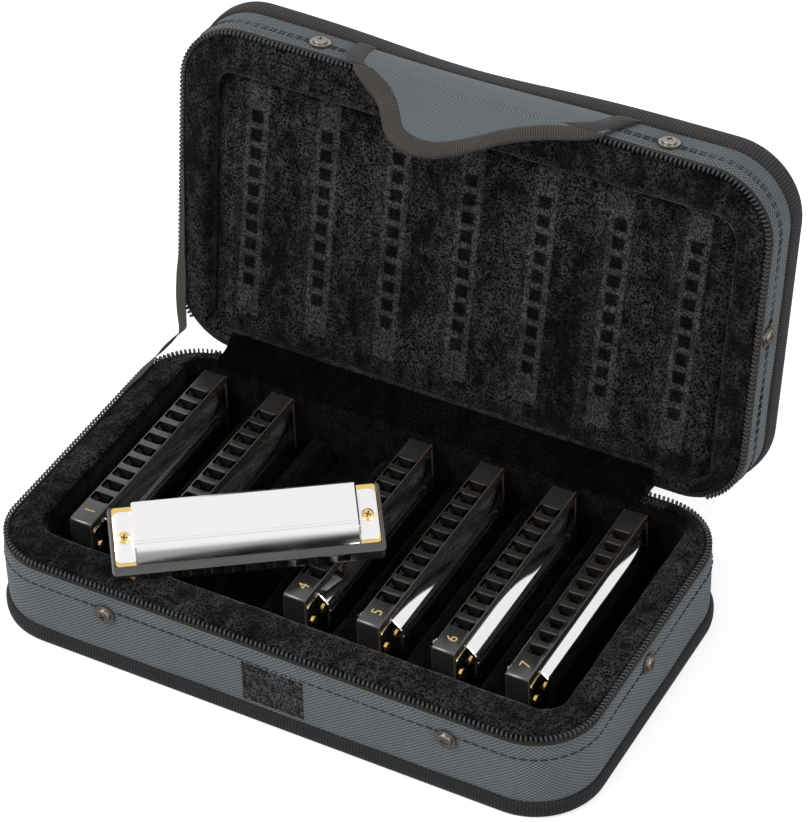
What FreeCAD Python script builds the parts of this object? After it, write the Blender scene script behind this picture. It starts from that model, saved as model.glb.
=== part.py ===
import FreeCAD, Part
import math
import os
import Sketcher

# Soft zip case for seven mouth organs, shown open. The origin is the middle of the
# underside of the base, +X runs right along the front, +Y runs back to the hinge, +Z is up.
# Every length is in millimetres.

# Driving sizes, all kept in the sheet
SIZES = {
    # outer shell
    "corner_radius": 26.0,
    "lid_height": 28.0,
    "parting_gap": 0.2,
    "band_thickness": 2.2,
    "panel_thickness": 3.0,
    # ribbed tape that binds the outer edge
    "binding_proud": 1.6,
    "binding_width": 8.5,
    "binding_fold": 0.8,
    "binding_round": 1.2,
    # zip tape and coil
    "coil_height": 2.0,
    "coil_width": 2.1,
    "coil_inset": 0.2,
    "tape_height": 2.2,
    "tape_thickness": 1.4,
    "tape_inset": 0.4,
    "zip_left_inset": 25.5,
    "zip_right_inset": 36.5,
    # padded rim and tray
    "rim_clearance": 0.2,
    "rim_drop": 0.6,
    "rim_round": 5.0,
    "rim_side_width": 14.6,
    "rim_front_width": 19.3,
    "rim_back_width": 7.0,
    "tray_floor_thickness": 3.2,
    "divider_height": 9.0,
    "divider_round_share": 0.245,
    "divider_gap": 0.6,
    "pad_recess": 4.5,
    "pad_gap": 0.3,
    # lid opening
    "hinge_inset": 0.1,
    "hinge_drop": 2.3,
    "lid_open_angle": 97.6,
    "hinge_cloth_thickness": 0.9,
    "hinge_cloth_base_leg": 10.0,
    "hinge_cloth_lid_leg": 11.0,
    "hinge_cloth_gap": 0.2,
    "hinge_plush_thickness": 1.2,
    "hinge_plush_lap": 3.6,
    "hinge_plush_lift": 0.3,
    # stay strap on the left
    "strap_width": 7.0,
    "strap_thickness": 0.9,
    "strap_gap": 0.35,
    "strap_lid_reach": 78.0,
    "strap_lid_bend": 26.0,
    "strap_kink_rise": 6.0,
    "strap_base_reach": 55.0,
    "strap_lid_depth": 3.5,
    "strap_base_depth": 2.0,
    # screws with washers in the fabric walls
    "screw_head_radius": 2.9,
    "screw_head_height": 1.3,
    "washer_radius": 4.1,
    "washer_thickness": 0.6,
    "screw_shank_radius": 1.4,
    "screw_shank_length": 2.2,
    "screw_fit": 0.05,
    "base_screw_left_inset": 55.8,
    "base_screw_right_inset": 48.7,
    "base_screw_depth": 13.0,
    "base_side_screw_depth": 10.0,
    "side_screw_offset": 6.0,
    "lid_screw_left_inset": 56.1,
    "lid_screw_right_inset": 46.7,
    "lid_screw_depth": 10.0,
    "lid_side_screw_depth": 8.0,
    # loop patch on the front
    "patch_width": 26.0,
    "patch_height": 18.5,
    "patch_thickness": 1.1,
    "patch_centre": 3.6,
    "patch_bottom": 9.2,
    # closing flap
    "flap_centre": 3.6,
    "flap_root_half": 53.0,
    "flap_root_depth": 17.0,
    "flap_thickness": 1.4,
    "flap_seam_gap": 0.05,
    "flap_bend_depth": 0.1,
    "flap_fold_length": 3.4,
    "flap_gap": 0.3,
    "flap_shoulder_half": 47.0,
    "flap_waist_half": 29.5,
    "flap_waist_reach": 13.5,
    "flap_tip_half": 23.5,
    "flap_tip_shoulder": 23.0,
    "flap_reach": 33.0,
    "flap_curve_radius": 24.0,
    "flap_binding_width": 4.0,
    "flap_binding_thickness": 2.2,
    "flap_droop": 27.0,
    "flap_closed_tilt": 10.0,
    "hook_half_width": 11.0,
    "hook_top": 14.5,
    "hook_length": 12.4,
    "hook_thickness": 0.9,
    # zip slider and its pull
    "slider_length": 8.0,
    "slider_gap": 0.3,
    "slider_body": 4.6,
    "slider_height": 12.0,
    "slider_top": 32.0,
    "slider_end_gap": 0.6,
    "slider_slot": 1.6,
    "bail_radius": 1.1,
    "bail_width": 4.0,
    "bail_fit": 0.15,
    "bail_wall": 1.0,
    "pull_length": 18.0,
    "pull_width": 5.0,
    "pull_thickness": 1.2,
    "pull_round": 1.8,
    # mouth organ
    "organ_length": 101.6,
    "organ_depth": 27.0,
    "comb_thickness": 9.4,
    "comb_core": 6.4,
    "comb_lip": 3.4,
    "comb_end": 1.3,
    "comb_round": 1.6,
    "hole_length": 4.9,
    "hole_width": 5.8,
    "hole_depth": 20.0,
    "hole_end_margin": 15.7,
    "plate_thickness": 0.9,
    "plate_gap": 0.02,
    "plate_edge": 0.15,
    "cover_wall": 0.55,
    "cover_half": 9.8,
    "cover_back_half": 9.5,
    "cover_end_inset": 9.8,
    "cover_ridge_depth": 9.0,
    "cover_back_inset": 0.6,
    "cover_tab_inset": 2.0,
    "organ_screw_radius": 2.3,
    "organ_screw_head": 1.0,
    "organ_screw_shank": 0.9,
    "organ_screw_length": 3.4,
    "organ_screw_fit": 0.05,
    "organ_screw_level": 12.5,
    "organ_screw_inset": 5.5,
    # how the mouth organs lie
    "organ_pitch": 31.0,
    "organ_left_gap": 0.9,
    "organ_right_gap": 11.3,
    "organ_front_gap": 12.8,
    "organ_back_gap": 1.3,
    "organ_top_gap": 4.8,
    "organ_rest_gap": 0.2,
    "loose_shift": 4.2,
    "loose_corner_inset": 3.8,
    "loose_yaw": 35.4,
    "loose_gap": 0.3,
    "dent_gap": 0.7,
    # shared overrun of cuts
    "overrun": 1.0,
}
ORGAN_COUNT = 7
LOOSE_ORGAN = 3
HOLE_COUNT = 10

doc = FreeCAD.newDocument("OrganCase")
sheet = doc.addObject("Spreadsheet::Sheet", "Sizes")
for row, (alias, number) in enumerate(SIZES.items(), start=1):
    sheet.set("A%d" % row, alias)
    sheet.set("B%d" % row, str(number))
    sheet.setAlias("B%d" % row, alias)
doc.recompute()


# A worked-out size: its value now and the expression that keeps it tied to the sheet
class Size:
    def __init__(self, value, text):
        self.value = float(value)
        self.text = text

    @staticmethod
    def of(other):
        if isinstance(other, Size):
            return other
        return Size(other, repr(float(other)))

    def __add__(self, other):
        other = Size.of(other)
        return Size(self.value + other.value, "(%s + %s)" % (self.text, other.text))

    def __sub__(self, other):
        other = Size.of(other)
        return Size(self.value - other.value, "(%s - %s)" % (self.text, other.text))

    def __mul__(self, other):
        other = Size.of(other)
        return Size(self.value * other.value, "(%s * %s)" % (self.text, other.text))

    def __truediv__(self, other):
        other = Size.of(other)
        return Size(self.value / other.value, "(%s / %s)" % (self.text, other.text))

    def __neg__(self):
        return Size(-self.value, "(-1 * %s)" % self.text)

    __radd__ = __add__
    __rmul__ = __mul__

    def __rsub__(self, other):
        return Size.of(other) - self


def size(alias):
    return Size(SIZES[alias], "Sizes." + alias)


def sine(angle):
    return Size(math.sin(math.radians(angle.value)), "sin(%s)" % angle.text)


def cosine(angle):
    return Size(math.cos(math.radians(angle.value)), "cos(%s)" % angle.text)


def arc_tangent(rise, run):
    value = math.degrees(math.atan2(rise.value, run.value))
    return Size(value, "atan(%s / %s)" % (rise.text, run.text))


ZERO = Size(0, "0")


# A worked-out size that gets its own formula cell in the sheet
def derived(alias, total):
    row = len(SIZES) + len(DERIVED) + 1
    DERIVED.append(alias)
    sheet.set("A%d" % row, alias)
    sheet.set("B%d" % row, "=" + total.text.replace("Sizes.", ""))
    sheet.setAlias("B%d" % row, alias)
    return Size(total.value, "Sizes." + alias)


DERIVED = []


# Helpers for bodies, sketches and features
def new_body(label):
    body = doc.addObject("PartDesign::Body", label)
    body.Label = label
    return body


def new_sketch(body, plane, offset=ZERO):
    sketch = body.newObject("Sketcher::SketchObject", body.Name + "_sketch")
    origin = [part for part in body.Origin.OriginFeatures if part.Role == plane]
    sketch.AttachmentSupport = [(origin[0], "")]
    sketch.MapMode = "FlatFace"
    sketch.AttachmentOffset = FreeCAD.Placement(
        FreeCAD.Vector(0, 0, offset.value), FreeCAD.Rotation())
    sketch.setExpression(".AttachmentOffset.Base.z", offset.text)
    return sketch


# Closed outline through points; arcs maps the index of a side to (radius, +1 left or -1 right turn)
def outline(sketch, points, arcs=None):
    arcs = arcs or {}
    ends = []
    for index, (start, stop) in enumerate(zip(points, points[1:] + points[:1])):
        x1, y1, x2, y2 = start[0].value, start[1].value, stop[0].value, stop[1].value
        if index not in arcs:
            line = Part.LineSegment(FreeCAD.Vector(x1, y1, 0), FreeCAD.Vector(x2, y2, 0))
            ends.append((sketch.addGeometry(line, False), 1, 2))
            continue
        radius, turn = arcs[index]
        chord = math.hypot(x2 - x1, y2 - y1)
        rise = math.sqrt(max(radius.value ** 2 - (chord / 2) ** 2, 0.0))
        cx = (x1 + x2) / 2 - turn * rise * (y2 - y1) / chord
        cy = (y1 + y2) / 2 + turn * rise * (x2 - x1) / chord
        first = math.atan2(y1 - cy, x1 - cx)
        last = math.atan2(y2 - cy, x2 - cx)
        if turn < 0:
            first, last = last, first
        circle = Part.Circle(FreeCAD.Vector(cx, cy, 0), FreeCAD.Vector(0, 0, 1), radius.value)
        number = sketch.addGeometry(Part.ArcOfCircle(circle, first, last), False)
        ends.append((number, 1, 2) if turn > 0 else (number, 2, 1))
        spot = sketch.addConstraint(Sketcher.Constraint("Radius", number, radius.value))
        sketch.setExpression("Constraints[%d]" % spot, radius.text)
    for index, point in enumerate(points):
        number, begin, _ = ends[index]
        before, _, finish = ends[index - 1]
        sketch.addConstraint(Sketcher.Constraint("Coincident", before, finish, number, begin))
        for kind, part in (("DistanceX", point[0]), ("DistanceY", point[1])):
            spot = sketch.addConstraint(
                Sketcher.Constraint(kind, -1, 1, number, begin, part.value))
            sketch.setExpression("Constraints[%d]" % spot, part.text)


def rectangle(sketch, left, low, right, high):
    outline(sketch, [(left, low), (right, low), (right, high), (left, high)])


def rounded_rectangle(sketch, half_x, half_y, radius):
    points = [
        (radius - half_x, -half_y), (half_x - radius, -half_y),
        (half_x, radius - half_y), (half_x, half_y - radius),
        (half_x - radius, half_y), (radius - half_x, half_y),
        (-half_x, half_y - radius), (-half_x, radius - half_y),
    ]
    outline(sketch, points, {1: (radius, 1), 3: (radius, 1), 5: (radius, 1), 7: (radius, 1)})


def circle(sketch, x, y, radius):
    ring = Part.Circle(
        FreeCAD.Vector(x.value, y.value, 0), FreeCAD.Vector(0, 0, 1), radius.value)
    number = sketch.addGeometry(ring, False)
    spots = (
        (Sketcher.Constraint("Radius", number, radius.value), radius),
        (Sketcher.Constraint("DistanceX", -1, 1, number, 3, x.value), x),
        (Sketcher.Constraint("DistanceY", -1, 1, number, 3, y.value), y),
    )
    for constraint, part in spots:
        spot = sketch.addConstraint(constraint)
        sketch.setExpression("Constraints[%d]" % spot, part.text)


def pad(body, sketch, length):
    feature = body.newObject("PartDesign::Pad", body.Name + "_pad")
    feature.Profile = sketch
    feature.Length = length.value
    feature.setExpression("Length", length.text)
    return feature


def pocket(body, sketch, length):
    feature = body.newObject("PartDesign::Pocket", body.Name + "_pocket")
    feature.Profile = sketch
    feature.Length = length.value
    feature.setExpression("Length", length.text)
    return feature


def edge_names(shape, test):
    names = []
    for index, edge in enumerate(shape.Edges, start=1):
        if test(edge.BoundBox):
            names.append("Edge%d" % index)
    return names


# Round the edges of the last feature that pass the test
def rounding(body, feature, radius, test):
    doc.recompute()
    names = edge_names(feature.Shape, test)
    fillet = body.newObject("PartDesign::Fillet", body.Name + "_round")
    fillet.Base = (feature, names)
    fillet.Radius = radius.value
    fillet.setExpression("Radius", radius.text)
    return fillet


def place(item, x, y, z, rotation=FreeCAD.Rotation()):
    item.Placement = FreeCAD.Placement(FreeCAD.Vector(x.value, y.value, z.value), rotation)
    item.setExpression(".Placement.Base.x", x.text)
    item.setExpression(".Placement.Base.y", y.text)
    item.setExpression(".Placement.Base.z", z.text)


def near(a, b, slack=0.01):
    return abs(a - b) < slack * SIZES["overrun"]


PIECES = []


def piece(body, tip):
    body.Tip = tip
    PIECES.append(body)
    return body


# The case is as large as its seven mouth organs, the room round them and its rims
ridge = size("cover_half")
organ_pitch = size("organ_pitch")
organ_length = size("organ_length")
organ_depth = size("organ_depth")
fold = size("binding_fold")
panel = size("panel_thickness")
case_length = derived("case_length", (
    ridge * 2 + organ_pitch * (ORGAN_COUNT - 1) + size("organ_left_gap")
    + size("organ_right_gap") + size("rim_side_width") * 2))
case_depth = derived("case_depth", (
    organ_length + size("organ_front_gap") + size("organ_back_gap")
    + size("rim_front_width") + size("rim_back_width")))
half_x = derived("half_length", case_length / 2)
half_y = derived("half_depth", case_depth / 2)
floor_top = derived("floor_top", fold + panel + size("tray_floor_thickness"))
organ_floor = derived("organ_floor", floor_top + size("organ_rest_gap"))
parting = derived("base_height", organ_floor + organ_depth + size("organ_top_gap"))

# Shared places of the shell
corner = size("corner_radius")
band = size("band_thickness")
gap = size("parting_gap")
overrun = size("overrun")
coil_outer = gap
coil_inner = coil_outer + size("coil_height")
tape_inner = coil_inner + size("tape_height")
rim_top = gap + size("rim_drop")
rim_inset = band + size("rim_clearance")
tray_x = derived("tray_half_length", half_x - size("rim_side_width"))
tray_front = derived("tray_front", half_y - size("rim_front_width"))
tray_back = derived("tray_back", half_y - size("rim_back_width"))
zip_left = derived("zip_left_end", half_x - size("zip_left_inset"))
zip_right = derived("zip_right_end", half_x - size("zip_right_inset"))
rim_x = half_x - rim_inset
rim_y = half_y - rim_inset
rim_corner = corner - rim_inset

# Hinge line, on the back wall just under the parting plane
hinge_y = derived("hinge_y", half_y - size("hinge_inset"))
hinge_z = derived("hinge_z", parting - size("hinge_drop"))
lid_angle = size("lid_open_angle")
lid_turn = FreeCAD.Rotation(FreeCAD.Vector(-1, 0, 0), lid_angle.value)


# Where a point of the closed lid lies once the lid is open
def opened(y, z):
    reach = y - hinge_y
    rise = z - hinge_z
    return (hinge_y + reach * cosine(lid_angle) + rise * sine(lid_angle),
            hinge_z - reach * sine(lid_angle) + rise * cosine(lid_angle))


def place_on_lid(item):
    y, z = opened(ZERO, ZERO)
    place(item, ZERO, y, z, lid_turn)


# One half of the shell: the base goes down from the parting plane, the lid goes up
class Half:
    def __init__(self, name, depth, up):
        self.name = name
        self.depth = depth
        self.up = up

    def level(self, distance):
        return parting + distance if self.up else parting - distance

    def low(self, near_side, far_side):
        return self.level(near_side) if self.up else self.level(far_side)

    def high(self, near_side, far_side):
        return self.level(far_side) if self.up else self.level(near_side)

    def finish(self, body, tip):
        piece(body, tip)
        if self.up:
            place_on_lid(body)

    # A ring that follows the outline, between two insets and two distances from the parting plane
    def ring(self, label, outer, inner, near_side, far_side, gap_at_hinge=False):
        body = new_body(self.name + "_" + label)
        sketch = new_sketch(body, "XY_Plane", self.low(near_side, far_side))
        rounded_rectangle(sketch, half_x - outer, half_y - outer, corner - outer)
        rounded_rectangle(sketch, half_x - inner, half_y - inner, corner - inner)
        tip = pad(body, sketch, far_side - near_side)
        if gap_at_hinge:
            cut = new_sketch(body, "XY_Plane", self.high(near_side, far_side) + overrun)
            rectangle(cut, -zip_left, tray_back, zip_right, half_y + overrun)
            tip = pocket(body, cut, far_side - near_side + overrun * 2)
        return body, tip

    def panel_inside(self):
        return self.depth - fold - panel

    def build(self):
        # stiff flat panel under the fabric
        body = new_body(self.name + "_panel")
        sketch = new_sketch(body, "XY_Plane", self.low(self.depth - fold - panel, self.depth - fold))
        rounded_rectangle(sketch, half_x, half_y, corner)
        self.finish(body, pad(body, sketch, panel))
        # fabric wall
        body, tip = self.ring("band", ZERO, band, tape_inner, self.panel_inside())
        self.wall_holes(body)
        self.finish(body, body.Tip)
        # ribbed binding folded over the outer edge
        body = new_body(self.name + "_binding")
        width = size("binding_width")
        proud = size("binding_proud")
        sketch = new_sketch(body, "XY_Plane", self.low(self.depth - width, self.depth))
        rounded_rectangle(sketch, half_x + proud, half_y + proud, corner + proud)
        rounded_rectangle(sketch, half_x, half_y, corner)
        wall = pad(body, sketch, width)
        sketch = new_sketch(body, "XY_Plane", self.low(self.depth - fold, self.depth))
        rounded_rectangle(sketch, half_x, half_y, corner)
        rounded_rectangle(sketch, half_x - width, half_y - width, corner - width)
        both = pad(body, sketch, fold)
        outside = (half_x + proud).value
        face = self.level(self.depth).value
        tip = rounding(
            body, both, size("binding_round"),
            lambda box: near(box.ZMin, face) and near(box.ZMax, face)
            and max(abs(box.XMin), abs(box.XMax), abs(box.YMin) + outside - (half_y + proud).value,
                    abs(box.YMax) + outside - (half_y + proud).value) > outside - proud.value / 2)
        self.finish(body, tip)
        # zip tape and coil, open at the hinge
        inset = size("tape_inset")
        body, tip = self.ring("zip_tape", inset, inset + size("tape_thickness"),
                              coil_inner, tape_inner, True)
        self.finish(body, tip)
        inset = size("coil_inset")
        body, tip = self.ring("zip_coil", inset, inset + size("coil_width"),
                              coil_outer, coil_inner, True)
        self.finish(body, tip)
        self.rims()
        self.screws()

    # Clearance holes for the screws through the wall
    def wall_holes(self, body):
        radius = size("screw_shank_radius") + size("screw_fit")
        sketch = new_sketch(body, "XZ_Plane", half_y + overrun)
        for x, level, side in self.screw_places():
            if side == "front":
                circle(sketch, x, level, radius)
        tip = pocket(body, sketch, band + overrun * 2)
        sketch = new_sketch(body, "YZ_Plane", half_x + overrun)
        for x, level, side in self.screw_places():
            if side == "right":
                circle(sketch, x, level, radius)
        tip = pocket(body, sketch, case_length + overrun * 2)
        body.Tip = tip

    # Padded rim: front and back pieces with the corners, straight pieces at both sides
    def rims(self):
        near_side = rim_top
        far_side = self.panel_inside()
        straight = rim_y - rim_corner
        roll = size("rim_round")
        top = self.level(near_side).value
        # front
        body = new_body(self.name + "_rim_front")
        sketch = new_sketch(body, "XY_Plane", self.low(near_side, far_side))
        outline(sketch, [
            (-tray_x, -straight), (-rim_x, -straight), (rim_corner - rim_x, -rim_y),
            (rim_x - rim_corner, -rim_y), (rim_x, -straight), (tray_x, -straight),
            (tray_x, -tray_front), (-tray_x, -tray_front),
        ], {1: (rim_corner, 1), 3: (rim_corner, 1)})
        block = pad(body, sketch, far_side - near_side)
        front = -tray_front.value
        tip = rounding(body, block, roll,
                       lambda box: near(box.ZMin, top) and near(box.ZMax, top)
                       and near(box.YMin, front) and near(box.YMax, front))
        if not self.up:
            tip = self.dent(body)
        self.finish(body, tip)
        # back
        body = new_body(self.name + "_rim_back")
        sketch = new_sketch(body, "XY_Plane", self.low(near_side, far_side))
        outline(sketch, [
            (tray_x, straight), (rim_x, straight), (rim_x - rim_corner, rim_y),
            (rim_corner - rim_x, rim_y), (-rim_x, straight), (-tray_x, straight),
            (-tray_x, tray_back), (tray_x, tray_back),
        ], {1: (rim_corner, 1), 3: (rim_corner, 1)})
        self.finish(body, pad(body, sketch, far_side - near_side))
        # sides
        body = new_body(self.name + "_rim_sides")
        sketch = new_sketch(body, "XY_Plane", self.low(near_side, far_side))
        rectangle(sketch, -rim_x, -straight, -tray_x, straight)
        rectangle(sketch, tray_x, -straight, rim_x, straight)
        block = pad(body, sketch, far_side - near_side)
        edge = tray_x.value
        tip = rounding(body, block, roll,
                       lambda box: near(box.ZMin, top) and near(box.ZMax, top)
                       and near(abs(box.XMin), edge) and near(abs(box.XMax), edge))
        self.finish(body, tip)

    # Dent that the corner of the loose mouth organ presses into the front rim
    def dent(self, body):
        reach = size("dent_gap")
        yaw = loose_yaw
        half = organ_length / 2
        nose_x = loose_x - half * cosine(yaw) + loose_nose * sine(yaw)
        nose_y = loose_y - half * sine(yaw) - loose_nose * cosine(yaw)
        tip_x = nose_x - reach * cosine(yaw) + reach * sine(yaw)
        tip_y = nose_y - reach * sine(yaw) - reach * cosine(yaw)
        inside = reach - tray_front
        along = (inside - tip_y) / sine(yaw)
        across = (inside - tip_y) / cosine(yaw)
        sketch = new_sketch(body, "XY_Plane", parting + overrun)
        outline(sketch, [
            (tip_x, tip_y), (tip_x + along * cosine(yaw), inside),
            (tip_x - across * sine(yaw), inside)])
        return pocket(body, sketch, parting + overrun - loose_floor + size("loose_gap"))

    def screw_places(self):
        level = self.level(size(self.name + "_screw_depth"))
        side = self.level(size(self.name + "_side_screw_depth"))
        left = half_x - size(self.name + "_screw_left_inset")
        right = half_x - size(self.name + "_screw_right_inset")
        return ((-left, level, "front"), (right, level, "front"),
                (-size("side_screw_offset"), side, "right"))

    # Screws with washers: two at the front and one at each side
    def screws(self):
        body = new_body(self.name + "_screws")
        sizes = ((size("washer_radius"), ZERO, size("washer_thickness")),
                 (size("screw_head_radius"), size("washer_thickness"), size("screw_head_height")),
                 (size("screw_shank_radius"), -size("screw_shank_length"),
                  size("screw_shank_length")))
        tip = None
        for radius, start, length in sizes:
            sketch = new_sketch(body, "XZ_Plane", half_y + start)
            for x, level, side in self.screw_places():
                if side == "front":
                    circle(sketch, x, level, radius)
            tip = pad(body, sketch, length)
            for start_x in (half_x + start, -half_x - start - length):
                sketch = new_sketch(body, "YZ_Plane", start_x)
                for y, level, side in self.screw_places():
                    if side == "right":
                        circle(sketch, y, level, radius)
                tip = pad(body, sketch, length)
        self.finish(body, tip)


# Mouth organ profile places that the loose one and the dent need
organ_half = size("comb_thickness") / 2
core_half = size("comb_core") / 2
ridge_rise = ridge - organ_half
ridge_run = size("cover_ridge_depth")
loose_tilt = arc_tangent(ridge_rise, ridge_run)
organ_first = derived("organ_first", size("organ_left_gap") + ridge - tray_x)
loose_floor = organ_floor + organ_depth + size("loose_gap")
loose_yaw = size("loose_yaw")
loose_nose = derived("loose_nose", (
    organ_depth / 2 * cosine(loose_tilt) + organ_half * sine(loose_tilt)))
loose_rise = derived("loose_rise", (
    organ_depth / 2 * sine(loose_tilt) + organ_half * cosine(loose_tilt)))
loose_x = derived("loose_x", (
    organ_first + organ_pitch * (LOOSE_ORGAN - 1) + size("loose_shift")))
loose_y = derived("loose_y", (
    size("loose_corner_inset") - half_y + organ_length / 2 * sine(loose_yaw)
    + loose_nose * cosine(loose_yaw)))

base = Half("base", parting, False)
lid = Half("lid", size("lid_height"), True)
base.build()
lid.build()

# Plush floor of the tray
body = new_body("tray_floor")
inset = size("rim_clearance")
sketch = new_sketch(body, "XY_Plane", fold + panel)
rectangle(sketch, inset - tray_x, inset - tray_front, tray_x - inset, tray_back - inset)
piece(body, pad(body, sketch, size("tray_floor_thickness")))

# Padded ridges between the seven places
body = new_body("tray_dividers")
sketch = new_sketch(body, "XY_Plane", floor_top)
side = ridge + size("divider_gap")
for number in range(ORGAN_COUNT - 1):
    left = organ_first + organ_pitch * number + side
    right = organ_first + organ_pitch * (number + 1) - side
    rectangle(sketch, left, inset - tray_front, right, tray_back - inset)
ridges = pad(body, sketch, size("divider_height"))
top = (floor_top + size("divider_height")).value
run = (tray_front + tray_back - inset * 2).value
width = organ_pitch - side * 2
piece(body, rounding(body, ridges, width * size("divider_round_share"),
                     lambda box: near(box.ZMin, top) and near(box.YLength, run)))

# Soft panel of the lid, clear of the rim
body = new_body("lid_pad")
pad_gap = size("pad_gap")
sketch = new_sketch(body, "XY_Plane", lid.level(size("pad_recess")))
rectangle(sketch, pad_gap - tray_x, pad_gap - tray_front, tray_x - pad_gap, tray_back - pad_gap)
piece(body, pad(body, sketch, lid.panel_inside() - size("pad_recess")))
place_on_lid(body)

# Loop patch sewn on the front wall
body = new_body("loop_patch")
sketch = new_sketch(body, "XZ_Plane", half_y)
middle = size("patch_centre")
half = size("patch_width") / 2
low = size("patch_bottom")
rectangle(sketch, middle - half, low, middle + half, low + size("patch_height"))
piece(body, pad(body, sketch, size("patch_thickness")))

# Outer hinge cloth, an L that lies under the back wall of the lid
body = new_body("hinge_cloth")
cloth = size("hinge_cloth_thickness")
cloth_gap = size("hinge_cloth_gap")
sketch = new_sketch(body, "YZ_Plane", -zip_left)
top = hinge_z - cloth_gap
inner_y = half_y + cloth_gap
lid_leg = size("hinge_cloth_lid_leg")
near_lid = opened(half_y + cloth_gap, hinge_z)
far_lid = opened(half_y + cloth_gap, hinge_z + lid_leg)
far_under = opened(half_y + cloth_gap + cloth, hinge_z + lid_leg)
base_leg = size("hinge_cloth_base_leg")
turn_z = near_lid[1] - cloth
outline(sketch, [
    (inner_y, top - base_leg), (inner_y + cloth, top - base_leg),
    (inner_y + cloth, turn_z - cloth), far_under, far_lid, (inner_y, near_lid[1] - cloth_gap)])
piece(body, pad(body, sketch, zip_left + zip_right))

# Inner hinge plush, over the back rims from the base to the lid
body = new_body("hinge_plush")
thick = size("hinge_plush_thickness")
lift = size("hinge_plush_lift")
lap = size("hinge_plush_lap")
base_z = base.level(rim_top) + lift
lid_z = lid.level(rim_top) - lift
a = (tray_back + inset, base_z)
b = (tray_back + lap, base_z)
c = opened(tray_back + lap, lid_z)
d = opened(tray_back + inset, lid_z)
e = opened(tray_back + inset, lid_z - thick)
f = opened(tray_back + lap - thick, lid_z - thick)
g = (tray_back + lap - thick, base_z + thick)
h = (tray_back + inset, base_z + thick)
sketch = new_sketch(body, "YZ_Plane", -zip_left)
outline(sketch, [a, b, c, d, e, f, g, h])
piece(body, pad(body, sketch, zip_left + zip_right))

# Slack stay strap outside the left wall
body = new_body("stay_strap")
width = size("strap_width")
depth_lid = size("strap_lid_depth")
depth_base = size("strap_base_depth")
back = hinge_y - size("strap_lid_reach")
bend = hinge_y - size("strap_lid_bend")
upper = opened(back, parting + depth_lid)
upper_far = opened(back, parting + depth_lid - width)
middle_far = opened(bend, parting + depth_lid - width * 2)
middle_near = opened(bend, parting + depth_lid - width)
kink = (hinge_y - width, parting + size("strap_kink_rise") + width)
kink_far = (hinge_y - width * 2, parting + size("strap_kink_rise"))
base_end = (hinge_y - size("strap_base_reach"), parting - depth_base)
base_low = (hinge_y - size("strap_base_reach"), parting - depth_base - width)
kink_low = (hinge_y - width, parting - depth_base)
sketch = new_sketch(body, "YZ_Plane", -half_x - size("strap_gap") - size("strap_thickness"))
outline(sketch, [base_low, kink_low, kink, middle_near, upper, upper_far, middle_far,
                 kink_far, base_end])
piece(body, pad(body, sketch, size("strap_thickness")))

# Closing flap: root sewn on the front wall of the lid, a fold, and the tongue
flap_centre = size("flap_centre")
flap_thick = size("flap_thickness")
bend_z = lid.level(size("flap_bend_depth"))
body = new_body("flap_root")
root_half = size("flap_root_half")
sketch = new_sketch(body, "XZ_Plane", half_y)
rectangle(sketch, flap_centre - root_half, bend_z + size("flap_gap"),
          flap_centre + root_half, bend_z + size("flap_root_depth"))
piece(body, pad(body, sketch, flap_thick))
place_on_lid(body)

droop = FreeCAD.Rotation(FreeCAD.Vector(1, 0, 0), SIZES["flap_droop"])
bend_y = half_y + flap_thick / 2


# The flap's own frame has its bend line on the X axis and the tongue down along -Z
def place_flap(item):
    y, z = opened(-bend_y, bend_z)
    place(item, flap_centre, y, z, lid_turn.multiply(droop))


fold_end = size("flap_fold_length")
shoulder = size("flap_shoulder_half")
body = new_body("flap_fold")
sketch = new_sketch(body, "XZ_Plane", -flap_thick / 2)
rectangle(sketch, -shoulder, -fold_end, shoulder, -size("flap_gap"))
piece(body, pad(body, sketch, flap_thick))
place_flap(body)

flap_top = fold_end + size("flap_gap")


# Outline of the tongue, drawn in by one value on every side but the top
def tongue(sketch, inset):
    waist = size("flap_waist_half") - inset
    waist_z = size("flap_waist_reach") - inset / 2
    tip_half = size("flap_tip_half") - inset / 2
    tip_z = size("flap_tip_shoulder") - inset / 2
    reach = size("flap_reach") - inset
    sag = reach - tip_z
    tip_radius = (tip_half * tip_half + sag * sag) / (sag * 2)
    curve = size("flap_curve_radius")
    wide = shoulder - inset
    outline(sketch, [
        (wide, -flap_top), (-wide, -flap_top), (-waist, -waist_z), (-tip_half, -tip_z),
        (tip_half, -tip_z), (waist, -waist_z),
    ], {1: (curve, -1), 3: (tip_radius, 1), 5: (curve, -1)})


edge = size("flap_binding_width")
body = new_body("flap_panel")
sketch = new_sketch(body, "XZ_Plane", -flap_thick / 2)
tongue(sketch, edge + size("flap_seam_gap"))
piece(body, pad(body, sketch, flap_thick))
place_flap(body)

edge_thick = size("flap_binding_thickness")
body = new_body("flap_binding")
sketch = new_sketch(body, "XZ_Plane", -edge_thick / 2)
tongue(sketch, ZERO)
border = pad(body, sketch, edge_thick)
sketch = new_sketch(body, "XZ_Plane", edge_thick / 2 + overrun)
tongue(sketch, edge)
border = pocket(body, sketch, edge_thick + overrun * 2)
sketch = new_sketch(body, "XZ_Plane", edge_thick / 2 + overrun)
rectangle(sketch, edge - shoulder, -flap_top - overrun * 0.1, shoulder - edge, overrun)
piece(body, pocket(body, sketch, edge_thick + overrun * 2))
place_flap(body)

body = new_body("hook_patch")
hook_half = size("hook_half_width")
hook_top = size("hook_top")
sketch = new_sketch(body, "XZ_Plane", -flap_thick / 2 - size("hook_thickness"))
rectangle(sketch, -hook_half, -hook_top - size("hook_length"), hook_half, -hook_top)
piece(body, pad(body, sketch, size("hook_thickness")))
place_flap(body)

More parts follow.
